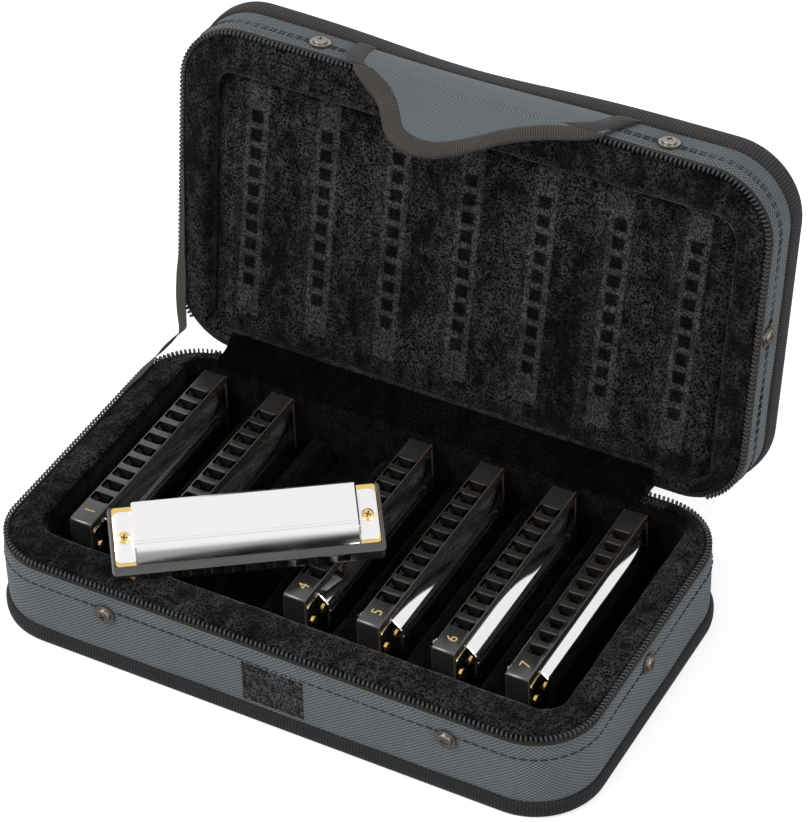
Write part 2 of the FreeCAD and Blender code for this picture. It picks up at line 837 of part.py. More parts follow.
# Zip slider parked behind the left end of the zip, and its hanging pull
slider_right = -zip_left - size("slider_end_gap")
slider_left = slider_right - size("slider_length")
slider_front = half_y + size("slider_gap")
slider_back = slider_front + size("slider_body")
slider_top = size("slider_top")
slider_low = slider_top - size("slider_height")
bail = size("bail_radius")
bail_half = size("bail_width") / 2
bail_y = slider_back + bail
bail_z = slider_low + bail * 2
slider_x = (slider_left + slider_right) / 2
wall = size("bail_wall")
slot = size("slider_slot") / 2
middle_y = (slider_front + slider_back) / 2
body = new_body("zip_slider")
sketch = new_sketch(body, "XY_Plane", slider_low)
rectangle(sketch, slider_left, slider_front, slider_right, slider_back)
tip = pad(body, sketch, size("slider_height"))
sketch = new_sketch(body, "YZ_Plane", slider_right + overrun)
rectangle(sketch, middle_y - slot, bail_z + bail * 3, middle_y + slot, slider_top + overrun)
tip = pocket(body, sketch, size("slider_length") + overrun * 2)
sketch = new_sketch(body, "YZ_Plane", slider_x - bail_half - wall)
ear_top = bail_z + bail * 2
ear_back = bail_y + bail + wall
rectangle(sketch, slider_back - wall / 2, slider_low, ear_back, ear_top)
tip = pad(body, sketch, size("bail_width") + wall * 2)
sketch = new_sketch(body, "YZ_Plane", slider_x + bail_half)
rectangle(sketch, slider_back, slider_low - overrun, ear_back + overrun, ear_top + overrun)
tip = pocket(body, sketch, size("bail_width"))
sketch = new_sketch(body, "YZ_Plane", slider_x + bail_half + wall + overrun)
circle(sketch, bail_y, bail_z, bail / 2 + size("bail_fit"))
piece(body, pocket(body, sketch, size("bail_width") + wall * 2 + overrun * 2))

body = new_body("zip_pull")
pull_half = size("pull_width") / 2
thin = size("pull_thickness") / 2
neck = bail_half - size("bail_fit")
sketch = new_sketch(body, "XZ_Plane", -thin)
rectangle(sketch, -neck, -bail * 3.6, neck, ZERO)
tip = pad(body, sketch, thin * 2)
sketch = new_sketch(body, "XZ_Plane", -thin)
rectangle(sketch, -pull_half, -size("pull_length"), pull_half, -bail * 3.1)
plate = pad(body, sketch, thin * 2)
low_z = -SIZES["pull_length"]
plate = rounding(body, plate, size("pull_round"),
                 lambda box: near(box.ZMin, low_z) and near(box.ZMax, low_z)
                 and near(box.XLength, 0) and near(box.YLength, thin.value * 2))
sketch = new_sketch(body, "YZ_Plane", -bail_half - wall)
circle(sketch, ZERO, ZERO, bail / 2)
piece(body, pad(body, sketch, size("bail_width") + wall * 2))
place(body, slider_x, bail_y, bail_z)


# One mouth organ in its own frame: X across, Y along, Z from the back to the mouthpiece
def mouth_organ(number, x, y, z, rotation):
    name = "organ%d_" % number
    half = organ_length / 2
    plate_out = core_half + size("plate_thickness")
    lip = organ_depth - size("comb_lip")
    end = half - size("comb_end")
    edge = size("plate_edge")
    screw_y = half - size("organ_screw_inset")
    screw_z = size("organ_screw_level")
    items = []
    # comb with ten channels and a recess each side for its plate
    body = new_body(name + "comb")
    sketch = new_sketch(body, "XY_Plane")
    rectangle(sketch, -organ_half, -half, organ_half, half)
    block = pad(body, sketch, organ_depth)
    tall = organ_depth.value
    long = half.value
    rounding(body, block, size("comb_round"),
             lambda box: near(abs(box.YMin), long) and near(box.YMin, box.YMax)
             and near(box.ZMin, box.ZMax) and (near(box.ZMin, tall) or near(box.ZMin, 0)))
    for side_x in (organ_half + overrun, -core_half):
        sketch = new_sketch(body, "YZ_Plane", side_x)
        rectangle(sketch, -end, -overrun, end, lip)
        pocket(body, sketch, organ_half - core_half + overrun)
    sketch = new_sketch(body, "YZ_Plane", organ_half + overrun)
    for side_y in (-screw_y, screw_y):
        circle(sketch, side_y, screw_z, size("organ_screw_shank") + size("organ_screw_fit"))
    pocket(body, sketch, size("comb_thickness") + overrun * 2)
    row_length = organ_length - size("hole_end_margin") * 2
    start = -row_length / 2
    hole_y = size("hole_length") / 2
    hole_x = size("hole_width") / 2
    sketch = new_sketch(body, "XY_Plane", organ_depth + overrun)
    rectangle(sketch, -hole_x, start - hole_y, hole_x, start + hole_y)
    hole = pocket(body, sketch, size("hole_depth") + overrun)
    row = body.newObject("PartDesign::LinearPattern", body.Name + "_row")
    row.Originals = [hole]
    axis = [part for part in body.Origin.OriginFeatures if part.Role == "Y_Axis"]
    row.Direction = (axis[0], [""])
    row.Length = row_length.value
    row.setExpression("Length", row_length.text)
    row.Occurrences = HOLE_COUNT
    items.append(piece(body, row))
    # two brass reed plates
    body = new_body(name + "reed_plates")
    thick = size("plate_thickness") - size("plate_gap")
    for start_x in (core_half + size("plate_gap"), -core_half - size("plate_thickness")):
        sketch = new_sketch(body, "YZ_Plane", start_x)
        rectangle(sketch, edge - end, edge, end - edge, lip - edge)
        for side_y in (-screw_y, screw_y):
            circle(sketch, side_y, screw_z, size("organ_screw_shank") + size("organ_screw_fit"))
        tip = pad(body, sketch, thick)
    items.append(piece(body, tip))
    # two covers: a sloping front, a flat side, walls at both ends and a tab beyond each end
    body = new_body(name + "covers")
    skin = size("cover_wall")
    low = plate_out + size("plate_gap")
    reach = half - size("cover_end_inset")
    bottom = size("cover_back_inset")
    ridge_z = organ_depth - ridge_run
    back_half = size("cover_back_half")
    tab = size("cover_tab_inset")
    foot = lip - edge * 2
    tab_end = end - edge * 2
    for sign in (1, -1):
        sketch = new_sketch(body, "XZ_Plane", -reach)
        profile = [(low * sign, foot), (low * sign + skin * sign, foot + edge),
                   (ridge * sign, ridge_z), (back_half * sign, bottom), (low * sign, bottom)]
        outline(sketch, profile)
        pad(body, sketch, reach * 2)
    for sign in (1, -1):
        sketch = new_sketch(body, "XZ_Plane", reach - skin)
        inner = [((low - overrun) * sign, foot - skin * 2), (low * sign + skin * sign * 0.2,
                 foot - skin * 2), ((ridge - skin) * sign, ridge_z - skin / 2),
                 ((back_half - skin) * sign, bottom - overrun),
                 ((low - overrun) * sign, bottom - overrun)]
        outline(sketch, inner)
        pocket(body, sketch, (reach - skin) * 2)
    for start_x in (low, -low - skin):
        sketch = new_sketch(body, "YZ_Plane", start_x)
        for left, right in ((-tab_end, skin / 2 - reach), (reach - skin / 2, tab_end)):
            rectangle(sketch, left, tab, right, foot - tab / 2)
        for side_y in (-screw_y, screw_y):
            circle(sketch, side_y, screw_z, size("organ_screw_shank") + size("organ_screw_fit"))
        tip = pad(body, sketch, skin)
    items.append(piece(body, tip))
    # four brass screws
    body = new_body(name + "screws")
    seat = low + skin
    head = size("organ_screw_head")
    shank = size("organ_screw_length")
    rows = ((seat, head, size("organ_screw_radius")), (-seat - head, head,
            size("organ_screw_radius")), (seat - shank, shank, size("organ_screw_shank")),
            (-seat, shank, size("organ_screw_shank")))
    for start_x, length, radius in rows:
        sketch = new_sketch(body, "YZ_Plane", start_x)
        for side_y in (-screw_y, screw_y):
            circle(sketch, side_y, screw_z, radius)
        tip = pad(body, sketch, length)
    items.append(piece(body, tip))
    for item in items:
        place(item, x, y, z, rotation)


# Seven mouth organs: all but one stand in the tray, the loose one leans on its neighbours
for number in range(1, ORGAN_COUNT + 1):
    if number != LOOSE_ORGAN:
        mouth_organ(number, organ_first + organ_pitch * (number - 1),
                    size("organ_front_gap") - tray_front + organ_length / 2, organ_floor,
                    FreeCAD.Rotation())
        continue
    cy, sy = cosine(loose_yaw), sine(loose_yaw)
    ct, st = cosine(loose_tilt), sine(loose_tilt)
    across = FreeCAD.Vector(-(sy * st).value, (cy * st).value, -ct.value)
    along = FreeCAD.Vector(cy.value, sy.value, 0)
    mouth = FreeCAD.Vector((sy * ct).value, -(cy * ct).value, -st.value)
    turn = FreeCAD.Rotation(across, along, mouth, "ZYX")
    reach = organ_depth / 2
    mouth_organ(number, loose_x - sy * ct * reach, loose_y + cy * ct * reach,
                loose_floor + loose_rise + st * reach, turn)

# Check every object and every shape before anything is written
doc.recompute()
for item in doc.Objects:
    if "Invalid" in item.State or "Error" in item.State:
        raise RuntimeError("%s did not build: %s" % (item.Label, item.State))
os.makedirs("parts", exist_ok=True)
for item in PIECES:
    if item.Shape.isNull() or not item.Shape.isValid():
        raise RuntimeError("%s has no valid shape" % item.Label)
for item in PIECES:
    item.Shape.exportStep("parts/%s.step" % item.Label)
    print(item.Label, len(item.Shape.Solids), "solids", round(item.Shape.Volume, 1))
print(len(PIECES), "pieces, loose tilt", round(loose_tilt.value, 2), "degrees")
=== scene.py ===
# %% [markdown]
# # A zip case of harmonicas, finished in Blender
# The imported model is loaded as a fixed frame: it says where every part is and how it moves.
# Each step looks at one piece of the real case, says how it could be made, and makes its
# finished form in the same place. Lengths are in millimetres; Blender works in metres, so MM
# turns one into the other.

# %% Load the frame
import math

import bmesh
import bpy
import numpy as np
from mathutils import Matrix, Vector, noise


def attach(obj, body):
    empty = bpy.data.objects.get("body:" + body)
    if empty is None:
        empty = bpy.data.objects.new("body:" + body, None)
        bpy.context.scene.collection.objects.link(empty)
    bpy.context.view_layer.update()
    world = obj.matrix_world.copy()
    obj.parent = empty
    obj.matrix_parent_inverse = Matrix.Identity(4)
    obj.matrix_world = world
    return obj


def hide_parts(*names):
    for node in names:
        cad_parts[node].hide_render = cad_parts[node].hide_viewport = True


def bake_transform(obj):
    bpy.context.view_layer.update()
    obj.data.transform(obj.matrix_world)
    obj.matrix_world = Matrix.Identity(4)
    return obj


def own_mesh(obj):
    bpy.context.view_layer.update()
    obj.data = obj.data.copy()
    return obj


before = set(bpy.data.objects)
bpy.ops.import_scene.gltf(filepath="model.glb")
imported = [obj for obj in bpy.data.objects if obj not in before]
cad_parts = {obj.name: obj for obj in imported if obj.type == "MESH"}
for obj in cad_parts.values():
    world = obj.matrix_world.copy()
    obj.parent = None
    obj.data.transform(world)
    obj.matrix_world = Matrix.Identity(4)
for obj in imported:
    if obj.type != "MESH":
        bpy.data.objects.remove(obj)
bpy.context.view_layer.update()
MM = 0.001

# %% [markdown]
# ## Places shared by all pieces
# The case is two shallow halves with the same rounded outline, joined by cloth at the back.
# The lid stands open, so its pieces are modelled as if it were closed and then turned about
# the hinge line. The flap has its own frame, turned once more by its droop.

# %% Sizes of the shell and the turned frames
HALF_X, HALF_Y, CORNER = 123.5, 71.0, 26.0
PARTING, LID_HEIGHT = 39.0, 28.0
HALVES = (("base", PARTING), ("lid", LID_HEIGHT))
TRAY_X, TRAY_FRONT, TRAY_BACK = 108.9, 51.7, 64.0
TRAY_HALF, TRAY_MIDDLE = (TRAY_FRONT + TRAY_BACK) / 2, (TRAY_BACK - TRAY_FRONT) / 2
ZIP_LEFT, ZIP_RIGHT = 98.0, 87.0
HINGE_Y, HINGE_Z, OPEN = 70.9, 36.7, math.radians(97.6)
FLAP_X, FLAP_Y, FLAP_Z, DROOP = 3.6, -71.7, 39.1, math.radians(27.0)
QUARTER = (HALF_X - CORNER) + (HALF_Y - CORNER) + CORNER * math.pi / 2


def level(half, depth):
    """A height, given as the depth below the parting or, in the lid, the height above it."""
    return PARTING + depth if half == "lid" else PARTING - depth


def opened(y, z):
    """Where a point of the closed lid is once the lid stands open."""
    run, rise = y - HINGE_Y, z - HINGE_Z
    return (HINGE_Y + run * math.cos(OPEN) + rise * math.sin(OPEN),
            HINGE_Z - run * math.sin(OPEN) + rise * math.cos(OPEN))


def at(*place):
    return Matrix.Translation([v * MM for v in place])


def spin(angle, axis):
    return Matrix.Rotation(angle, 4, axis)


hinge = at(0, HINGE_Y, HINGE_Z)
LID = hinge @ spin(-OPEN, "X") @ hinge.inverted()
FLAP = at(FLAP_X, *opened(FLAP_Y, FLAP_Z)) @ spin(DROOP - OPEN, "X")
print("way round the wall:", round(QUARTER * 4, 1), "mm")

# %% [markdown]
# ## Camera, floor and light
# The photograph is a product picture on white. The camera was fitted to it: a long lens from
# the front right, looking down about 40 degrees. The light is a pale studio: white all round,
# with a large soft lamp above the left front and a weaker one at the right.

# %% Camera
# The fit, in pixels: the picture's width, focal length, middle and optical centre.
SENSOR, WIDE, FOCAL = 36.0, 808, 3393.859
MIDDLE, CENTRE = (404, 411), (452.754, 473.706)


def add(name, data):
    made = bpy.data.objects.new(name, data)
    bpy.context.scene.collection.objects.link(made)
    return made


camera_data = bpy.data.cameras.new("camera")
camera_data.sensor_fit = "HORIZONTAL"
camera_data.sensor_width = SENSOR
camera_data.lens = SENSOR * FOCAL / WIDE
camera_data.shift_x = -(CENTRE[0] - MIDDLE[0]) / WIDE
camera_data.shift_y = (CENTRE[1] - MIDDLE[1]) / WIDE
camera_data.clip_end = 20.0
camera = add("camera", camera_data)
turn = Vector((2.22964844, 0.542126831, -0.259064486))
right, down, forward = Matrix.Rotation(turn.length, 3, turn)
camera.matrix_world = Matrix.Translation((0.477204519, -0.823520319, 0.884167783)) @ Matrix(
    (right, -down, -forward)).transposed().to_4x4()
bpy.context.scene.camera = camera
bpy.context.scene.view_settings.view_transform = "Standard"
print("lens", round(camera_data.lens, 1), "mm, looking along", [round(x, 2) for x in forward])


# %% [markdown]
# ## A short way to write materials
# Every finish here is a small graph of shader nodes. Wiring them one by one hides the idea, so
# a socket is wrapped in a class that knows plus, minus and times: an expression on sockets
# then adds its own Math nodes. Any other node comes from one method.

# %% Sockets that can be calculated with
def arithmetic(operation):
    def forwards(self, other):
        return self.graph.node("ShaderNodeMath", {"operation": operation}, {0: self, 1: other})

    def backwards(self, other):
        return self.graph.node("ShaderNodeMath", {"operation": operation}, {0: other, 1: self})

    return forwards, backwards


class Link:
    def __init__(self, graph, socket):
        self.graph, self.socket = graph, socket

    __add__, __radd__ = arithmetic("ADD")
    __sub__, __rsub__ = arithmetic("SUBTRACT")
    __mul__, __rmul__ = arithmetic("MULTIPLY")

    def step(self, operation, other=0.0):
        return arithmetic(operation)[0](self, other)

    def wave(self, rate):
        return (self * rate).step("SINE")

    def clipped(self, low, high):
        return self.graph.node("ShaderNodeMapRange", {"interpolation_type": "SMOOTHSTEP"},
                               {"Value": self, "From Min": low, "From Max": high})


class Graph:
    def __init__(self, tree):
        self.tree = tree

    def put(self, node, values):
        for key, value in values.items():
            if isinstance(value, Link):
                self.tree.links.new(value.socket, node.inputs[key])
            else:
                node.inputs[key].default_value = value

    def node(self, kind, settings=None, values=None, output=0):
        made = self.tree.nodes.new(kind)
        for key, value in (settings or {}).items():
            setattr(made, key, value)
        self.put(made, values or {})
        return Link(self, made.outputs[output])

    def ray(self, kind):
        return self.node("ShaderNodeLightPath", output="Is %s Ray" % kind)


class Finish(Graph):
    def __init__(self, name, **settings):
        self.material = bpy.data.materials.new(name)
        self.material.use_nodes = True
        super().__init__(self.material.node_tree)
        self.use(**settings)

    def use(self, **values):
        self.put(self.tree.nodes["Principled BSDF"],
                 {key.replace("_", " ").title().replace("Ior", "IOR"): value
                  for key, value in values.items()})
        return self.material

    def point(self):
        return self.node("ShaderNodeTexCoord", output="Object")

    def cloth_way(self):
        place = self.node("ShaderNodeUVMap", {"uv_map": "cloth"})
        return [self.node("ShaderNodeSeparateXYZ", values={0: place}, output=axis)
                for axis in "XY"]

    def grain(self, scale, detail, vector=None):
        return self.node("ShaderNodeTexNoise",
                         values={"Vector": vector or self.point(), "Scale": scale,
                                 "Detail": detail})

    def mix(self, share, low, high):
        return self.node("ShaderNodeMix", {"data_type": "RGBA"},
                         {0: share, 6: (*low, 1), 7: (*high, 1)}, output=2)

    def relief(self, height, depth, strength):
        return self.node("ShaderNodeBump", values={"Height": height, "Distance": depth * MM,
                                                   "Strength": strength})


print("materials are written as expressions")

# %% [markdown]
# The floor is a pale sheet that goes far beyond the case. The camera sees it a little brighter
# than the lamps make it, so it reads as white paper with a faint shadow; in the metal it is
# grey, because the real studio was dark in front of the case. The surroundings are plain white
# to the camera and to the metal, and weaker as a light.

# %% Floor, world and lamps
FLOOR_SIZE, FLOOR_DROP = 6.0, 0.0002
SKY_LIGHT, AIM = 0.46, Vector((0, 0, 0.05))
bpy.ops.mesh.primitive_plane_add(size=FLOOR_SIZE, location=(0, 0, -FLOOR_DROP))
floor = bpy.context.object
floor.name = "floor"
paper = Finish("paper", roughness=0.9, emission_strength=1.0)
floor.data.materials.append(paper.use(
    base_color=paper.mix(paper.ray("Glossy"), (0.93, 0.93, 0.93), (0.3, 0.295, 0.29)),
    emission_color=paper.mix(paper.ray("Camera"), (0, 0, 0), (0.55, 0.55, 0.55))))

world = bpy.data.worlds.new("studio")
bpy.context.scene.world = world
world.use_nodes = True
sky = Graph(world.node_tree)
seen = sky.ray("Camera").step("MAXIMUM", sky.ray("Glossy"))
strength = sky.node("ShaderNodeMapRange",
                    values={"To Min": SKY_LIGHT, "To Max": 1.0, "Value": seen})
sky.put(sky.tree.nodes["Background"], {"Color": (1, 1, 1, 1), "Strength": strength})
for name, place, size, power in (("soft_lamp_left", (-1.1, -1.3, 1.9), 1.3, 33),
                                 ("soft_lamp_right", (1.8, -0.6, 1.2), 1.0, 13)):
    data = bpy.data.lights.new(name, "AREA")
    data.shape, data.size, data.energy = "DISK", size, power
    lamp = add(name, data)
    lamp.location = place
    lamp.rotation_euler = (AIM - Vector(place)).to_track_quat("-Z", "Y").to_euler()
print("floor, white surroundings and two soft lamps")

# %% [markdown]
# ## Finishes of the cloth
# The wall is covered with a coarse blue grey pack cloth: thick yarns cross one over one, so
# each float shows as a small lozenge, and the rows of lozenges read as slanting lines. The
# pattern follows the cloth's own length and width, kept as a UV map in metres.

# %% Pack cloth
FLOAT_LONG, FLOAT_WIDE = 1.0, 0.75


def pack_cloth(name, dark, light, size=1.0):
    long, wide = FLOAT_LONG * size * MM, FLOAT_WIDE * size * MM
    cloth = Finish(name, roughness=0.78, specular_ior_level=0.25, sheen_weight=0.12,
                   sheen_roughness=0.5)
    along, across = cloth.cloth_way()
    yarn = along.wave(math.pi / long) * across.wave(math.pi / wide) * 0.5 + 0.5
    thread = along.wave(math.pi * 6 / long) * 0.06
    patch = cloth.grain(70.0, 3.0)
    worn = cloth.grain(900.0, 2.0)
    tone = (yarn.clipped(0.12, 0.95) + thread) * (0.72 + patch * 0.56) + worn * 0.12 - 0.06
    return cloth.use(base_color=cloth.mix(tone, dark, light),
                     normal=cloth.relief(yarn + thread + patch * 0.6, 0.16, 0.8))


wall_cloth = pack_cloth("pack_cloth", (0.036, 0.042, 0.047), (0.165, 0.188, 0.205))
flap_cloth = pack_cloth("flap_pack_cloth", (0.068, 0.078, 0.084), (0.175, 0.198, 0.212), 0.8)
print("pack cloth floats", FLOAT_LONG, "by", FLOAT_WIDE, "mm")


# %% Ribbed tapes
def ribbed(name, dark, light, pitch, depth):
    tape = Finish(name, roughness=0.75, specular_ior_level=0.3, sheen_weight=0.08)
    along, across = tape.cloth_way()
    rib = along.wave(2 * math.pi / (pitch * MM)) * 0.5 + 0.5
    thread = across.wave(2 * math.pi / (0.45 * MM)) * 0.1
    patch = tape.grain(120.0, 3.0)
    tone = (rib * 0.75 + thread + 0.1) * (0.6 + patch * 0.8)
    return tape.use(base_color=tape.mix(tone, dark, light),
                    normal=tape.relief(rib + thread * rib, depth, 0.9))


binding_tape = ribbed("binding_tape", (0.0015, 0.0014, 0.0014), (0.043, 0.038, 0.033), 1.3, 0.26)
base_tape = ribbed("base_binding_tape", (0.001, 0.001, 0.001), (0.021, 0.0195, 0.0185), 1.3, 0.2)
flap_tape = ribbed("flap_binding_tape", (0.008, 0.0075, 0.007), (0.078, 0.07, 0.063), 0.9, 0.14)
zip_tape = ribbed("zip_tape", (0.004, 0.004, 0.0042), (0.03, 0.029, 0.028), 1.1, 0.16)
selvedge = ribbed("zip_selvedge", (0.05, 0.05, 0.048), (0.2, 0.2, 0.195), 0.9, 0.12)
webbing = ribbed("strap_webbing", (0.028, 0.026, 0.023), (0.085, 0.08, 0.07), 0.8, 0.1)
stitch_thread = ribbed("stitch_thread", (0.006, 0.006, 0.0065), (0.02, 0.02, 0.021), 0.5, 0.05)
print("six ribbed tapes and a thread")


# %% [markdown]
# Inside, everything is lined with black crushed plush. Plush looks darkest where we look into
# the pile and paler where the pile lies over, so the colour and the bump share one slow,
# stretched noise for the crushed places and a fine one for the pile.

# %% Plush
def crushed_pile(pile, crush, bloom):
    """The pile's tone and height: slow crushed places, tufts and single hairs."""
    place = pile.point()
    stretched = pile.node("ShaderNodeVectorMath", {"operation": "MULTIPLY"},
                          {0: place, 1: (1.0, 0.75, 0.6)})
    slow = pile.grain(26.0 * crush, 3.0, stretched)
    tufts = pile.grain(190.0 * crush, 4.0, stretched)
    hairs = pile.grain(1150.0, 2.0, place)
    lying = (slow * 0.45 + tufts * 0.55).clipped(0.38, 0.66)
    tone = (lying * bloom + 0.06) * (hairs.clipped(0.4, 0.6) * 1.95 + 0.05)
    return tone, lying * 0.8 + tufts * 0.8 + hairs * 0.6


def plush(name, dark, light, bloom, sheen, crush=1.0, marks=None):
    """The mix stops at one, so the tone is halved and the pale colour doubled."""
    pile = Finish(name, roughness=0.95, specular_ior_level=0.03, sheen_weight=sheen,
                  sheen_roughness=0.42)
    tone, height = crushed_pile(pile, crush, bloom)
    if marks:
        tone, height = marks(pile, tone, height)
    return pile.use(base_color=pile.mix(tone * 0.5, dark, tuple(c * 2 for c in light)),
                    normal=pile.relief(height, 0.9, 0.75))


rim_plush = plush("rim_plush", (0.0008, 0.0008, 0.0009), (0.028, 0.0278, 0.0278), 0.75, 0.14)
# The tray plush is the rim's plush made darker: painted shade for the shadow inside the tray.
shaded_tray_plush = plush("shaded_tray_plush", (0.0004, 0.0004, 0.0005), (0.007, 0.007, 0.0072), 0.6, 0.06)
# The hinge plush is the same plush made darker still: painted shade under the open lid.
hinge_plush = plush("hinge_plush", (0.0003, 0.0003, 0.0004), (0.004, 0.004, 0.0042), 0.5, 0.015)
loop_pile = plush("loop_pile", (0.004, 0.0038, 0.0037), (0.045, 0.043, 0.042), 0.9, 0.14, 2.6)
print("four plushes")

# %% [markdown]
# ## Finishes of the hard parts
# Nickel screws, chromed covers, brass plates and black combs. A clean metal needs little more
# than its colour and something to mirror; a trace of noise in the roughness keeps it real.


# %% Metals and plastics
def metal(name, colour, roughness, spots=40.0, brushed=0.0):
    made = Finish(name, metallic=1.0)
    wear = made.grain(spots, 3.0)
    fine = made.grain(1400.0, 2.0)
    return made.use(base_color=made.mix(wear * 0.5 + fine * brushed, colour,
                                        tuple(c * 0.86 for c in colour)),
                    roughness=wear * roughness + roughness * 0.5)


def moulded(name, dark, light, roughness, shine=0.45):
    made = Finish(name, specular_ior_level=shine)
    texture = made.grain(500.0, 3.0)
    cloudy = made.grain(60.0, 2.0)
    return made.use(base_color=made.mix(texture * 0.5 + cloudy * 0.5, dark, light),
                    roughness=cloudy * 0.16 + roughness,
                    normal=made.relief(texture, 0.02, 0.5))


chrome = metal("cover_chrome", (0.86, 0.85, 0.85), 0.05)
handled_chrome = metal("handled_chrome", (0.9, 0.885, 0.88), 0.2)
nickel = metal("screw_nickel", (0.34, 0.31, 0.29), 0.3, 300.0, 0.4)
brass = metal("plate_brass", (0.85, 0.6, 0.22), 0.18, 200.0, 0.3)
# The slider's own dark metal, also used as painted shade at the bottom of the harmonica screws'
# slots.
dark_metal_and_slot_shade = metal("slider_metal", (0.09, 0.09, 0.095), 0.3, 200.0, 0.4)
comb_plastic = moulded("comb_plastic", (0.01, 0.0096, 0.0093), (0.032, 0.0305, 0.0295), 0.2, 1.0)
# A paler warm plastic for the bevelled edges: a painted highlight along the comb's edges and hole
# rims.
comb_edge_highlight = moulded("comb_edge_highlight", (0.09, 0.07, 0.055), (0.15, 0.12, 0.095), 0.25)
# Near-black plastic for the holes' inner walls: painted shade inside the channels.
comb_channel_shade = moulded("comb_channel_shade", (0.002, 0.002, 0.002), (0.005, 0.005, 0.005), 0.5)
coil_nylon = moulded("coil_nylon", (0.02, 0.02, 0.021), (0.06, 0.06, 0.062), 0.22)
gold_ink = moulded("gold_ink", (0.55, 0.4, 0.16), (0.75, 0.57, 0.26), 0.4)
print("metals and plastics")

# %% [markdown]
# ## Tools for modelling
# The same few moves make every piece: pick some vertices, edges or faces by their place,
# extrude or bevel them, and finish with a modifier that is applied at once.


# %% Select, name and finish
def calm(*chosen):
    """Object mode, with nothing selected but the given pieces; the first one is active."""
    if bpy.context.object and bpy.context.object.mode != "OBJECT":
        bpy.ops.object.mode_set(mode="OBJECT")
    bpy.ops.object.select_all(action="DESELECT")
    for obj in chosen:
        obj.select_set(True)
    if chosen:
        bpy.context.view_layer.objects.active = chosen[0]


def named(name):
    made = bpy.context.object
    made.name = made.data.name = name
    bpy.ops.object.transform_apply(location=True, rotation=True, scale=True)
    return made


def new(name, shape, **settings):
    """One of Blender's plain shapes, added with nothing else selected."""
    calm()
    shape(**settings)
    return named(name)


def block(name, place, size):
    """A plain block; its middle and its size in millimetres."""
    return new(name, bpy.ops.mesh.primitive_cube_add, size=1.0,
               location=[v * MM for v in place], scale=[v * MM for v in size])


def grid(name, across, up):
    """A fine grid and the places of its points, from -0.5 to 0.5 each way."""
    made = new(name, bpy.ops.mesh.primitive_grid_add, x_subdivisions=across,
               y_subdivisions=up, size=1.0)
    return made, points_of(made) * MM


def edit(obj):
    calm(obj)
    bpy.ops.object.mode_set(mode="EDIT")


def choose_all():
    bpy.ops.mesh.select_all(action="SELECT")


def seen_at(item):
    """A vertex's or a face's place and normal, or an edge's middle and run."""
    if isinstance(item, bmesh.types.BMVert):
        return item.co / MM, item.normal
    if isinstance(item, bmesh.types.BMFace):
        return item.calc_center_median() / MM, item.normal
    a, b = (v.co / MM for v in item.verts)
    return (a + b) / 2, b - a


def choose(obj, test, kind="EDGE"):
    """In edit mode, selects the vertices, edges or faces that pass the test."""
    bpy.ops.mesh.select_mode(type=kind)
    bpy.ops.mesh.select_all(action="DESELECT")
    mesh = bmesh.from_edit_mesh(obj.data)
    for item in {"VERT": mesh.verts, "EDGE": mesh.edges, "FACE": mesh.faces}[kind]:
        if test(*seen_at(item)):
            item.select = True
    mesh.select_flush_mode()
    bmesh.update_edit_mesh(obj.data)


def moved(*way):
    bpy.ops.transform.translate(value=[v * MM for v in way])


def drawn(*way, tool=bpy.ops.mesh.extrude_edges_move):
    """Extrudes what is selected by so many millimetres."""
    tool(TRANSFORM_OT_translate={"value": [v * MM for v in way]})


def scaled(size, about=(0, 0, 0)):
    bpy.ops.transform.resize(value=size, center_override=[v * MM for v in about])


def rounded(offset, segments):
    bpy.ops.mesh.bevel(offset=offset * MM, segments=segments, affect="EDGES")


def stepped_face(*steps):
    """Insets the selected face and lifts its inner part, once for each pair."""
    for inset, lift in steps:
        bpy.ops.mesh.inset(thickness=inset * MM)
        moved(0, 0, lift)


def finish_with(obj, kind, **settings):
    calm(obj)
    tool = obj.modifiers.new(kind.title(), kind)
    for key, value in settings.items():
        setattr(tool, key, value)
    bpy.ops.object.modifier_apply(modifier=tool.name)
    return obj


def thickened(obj, thickness, offset=0):
    return finish_with(obj, "SOLIDIFY", thickness=thickness * MM, offset=offset)


def soft_edges(obj, width, segments):
    return finish_with(obj, "BEVEL", width=width * MM, segments=segments, limit_method="ANGLE")


def repeated(obj, count, pitch):
    finish_with(obj, "ARRAY", count=count, use_relative_offset=False,
                use_constant_offset=True, constant_offset_displace=(pitch * MM, 0, 0))


def outward(obj, merge=0.01):
    edit(obj)
    choose_all()
    bpy.ops.mesh.remove_doubles(threshold=merge * MM)
    bpy.ops.mesh.normals_make_consistent(inside=False)
    calm()
    return obj


def smooth(obj, angle=40):
    calm(obj)
    bpy.ops.object.shade_smooth_by_angle(angle=math.radians(angle))
    calm()
    return obj


def joined(name, pieces):
    calm(*pieces)
    bpy.ops.object.join()
    return named(name)


def tint(obj, index, test):
    """Gives the faces that pass the test another of the piece's materials."""
    for face in obj.data.polygons:
        if test(face.center / MM, face.normal):
            face.material_index = index


def copy_of(obj, name, matrix):
    made = add(name, obj.data.copy())
    made.data.name = name
    made.data.transform(matrix)
    return made


def dress(obj, material, body, *nodes, slot=None):
    """Gives a finished piece its material, its body and the CAD nodes that it stands for. A piece
    without a material keeps its own; one without a body is not attached to any."""
    if material:
        obj.data.materials.clear()
        obj.data.materials.append(material)
    if body:
        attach(obj, body)
    if nodes:
        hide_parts(*nodes)
    return obj


def tell(*pieces):
    print(", ".join("%s %d faces" % (obj.name, len(obj.data.polygons)) for obj in pieces))


# %% Read, move and unroll a mesh's points
def points_of(obj):
    flat = np.empty(len(obj.data.vertices) * 3)
    obj.data.vertices.foreach_get("co", flat)
    return flat.reshape(-1, 3) / MM


def put_points(obj, points):
    obj.data.vertices.foreach_set("co", (np.asarray(points) * MM).ravel())
    obj.data.update()


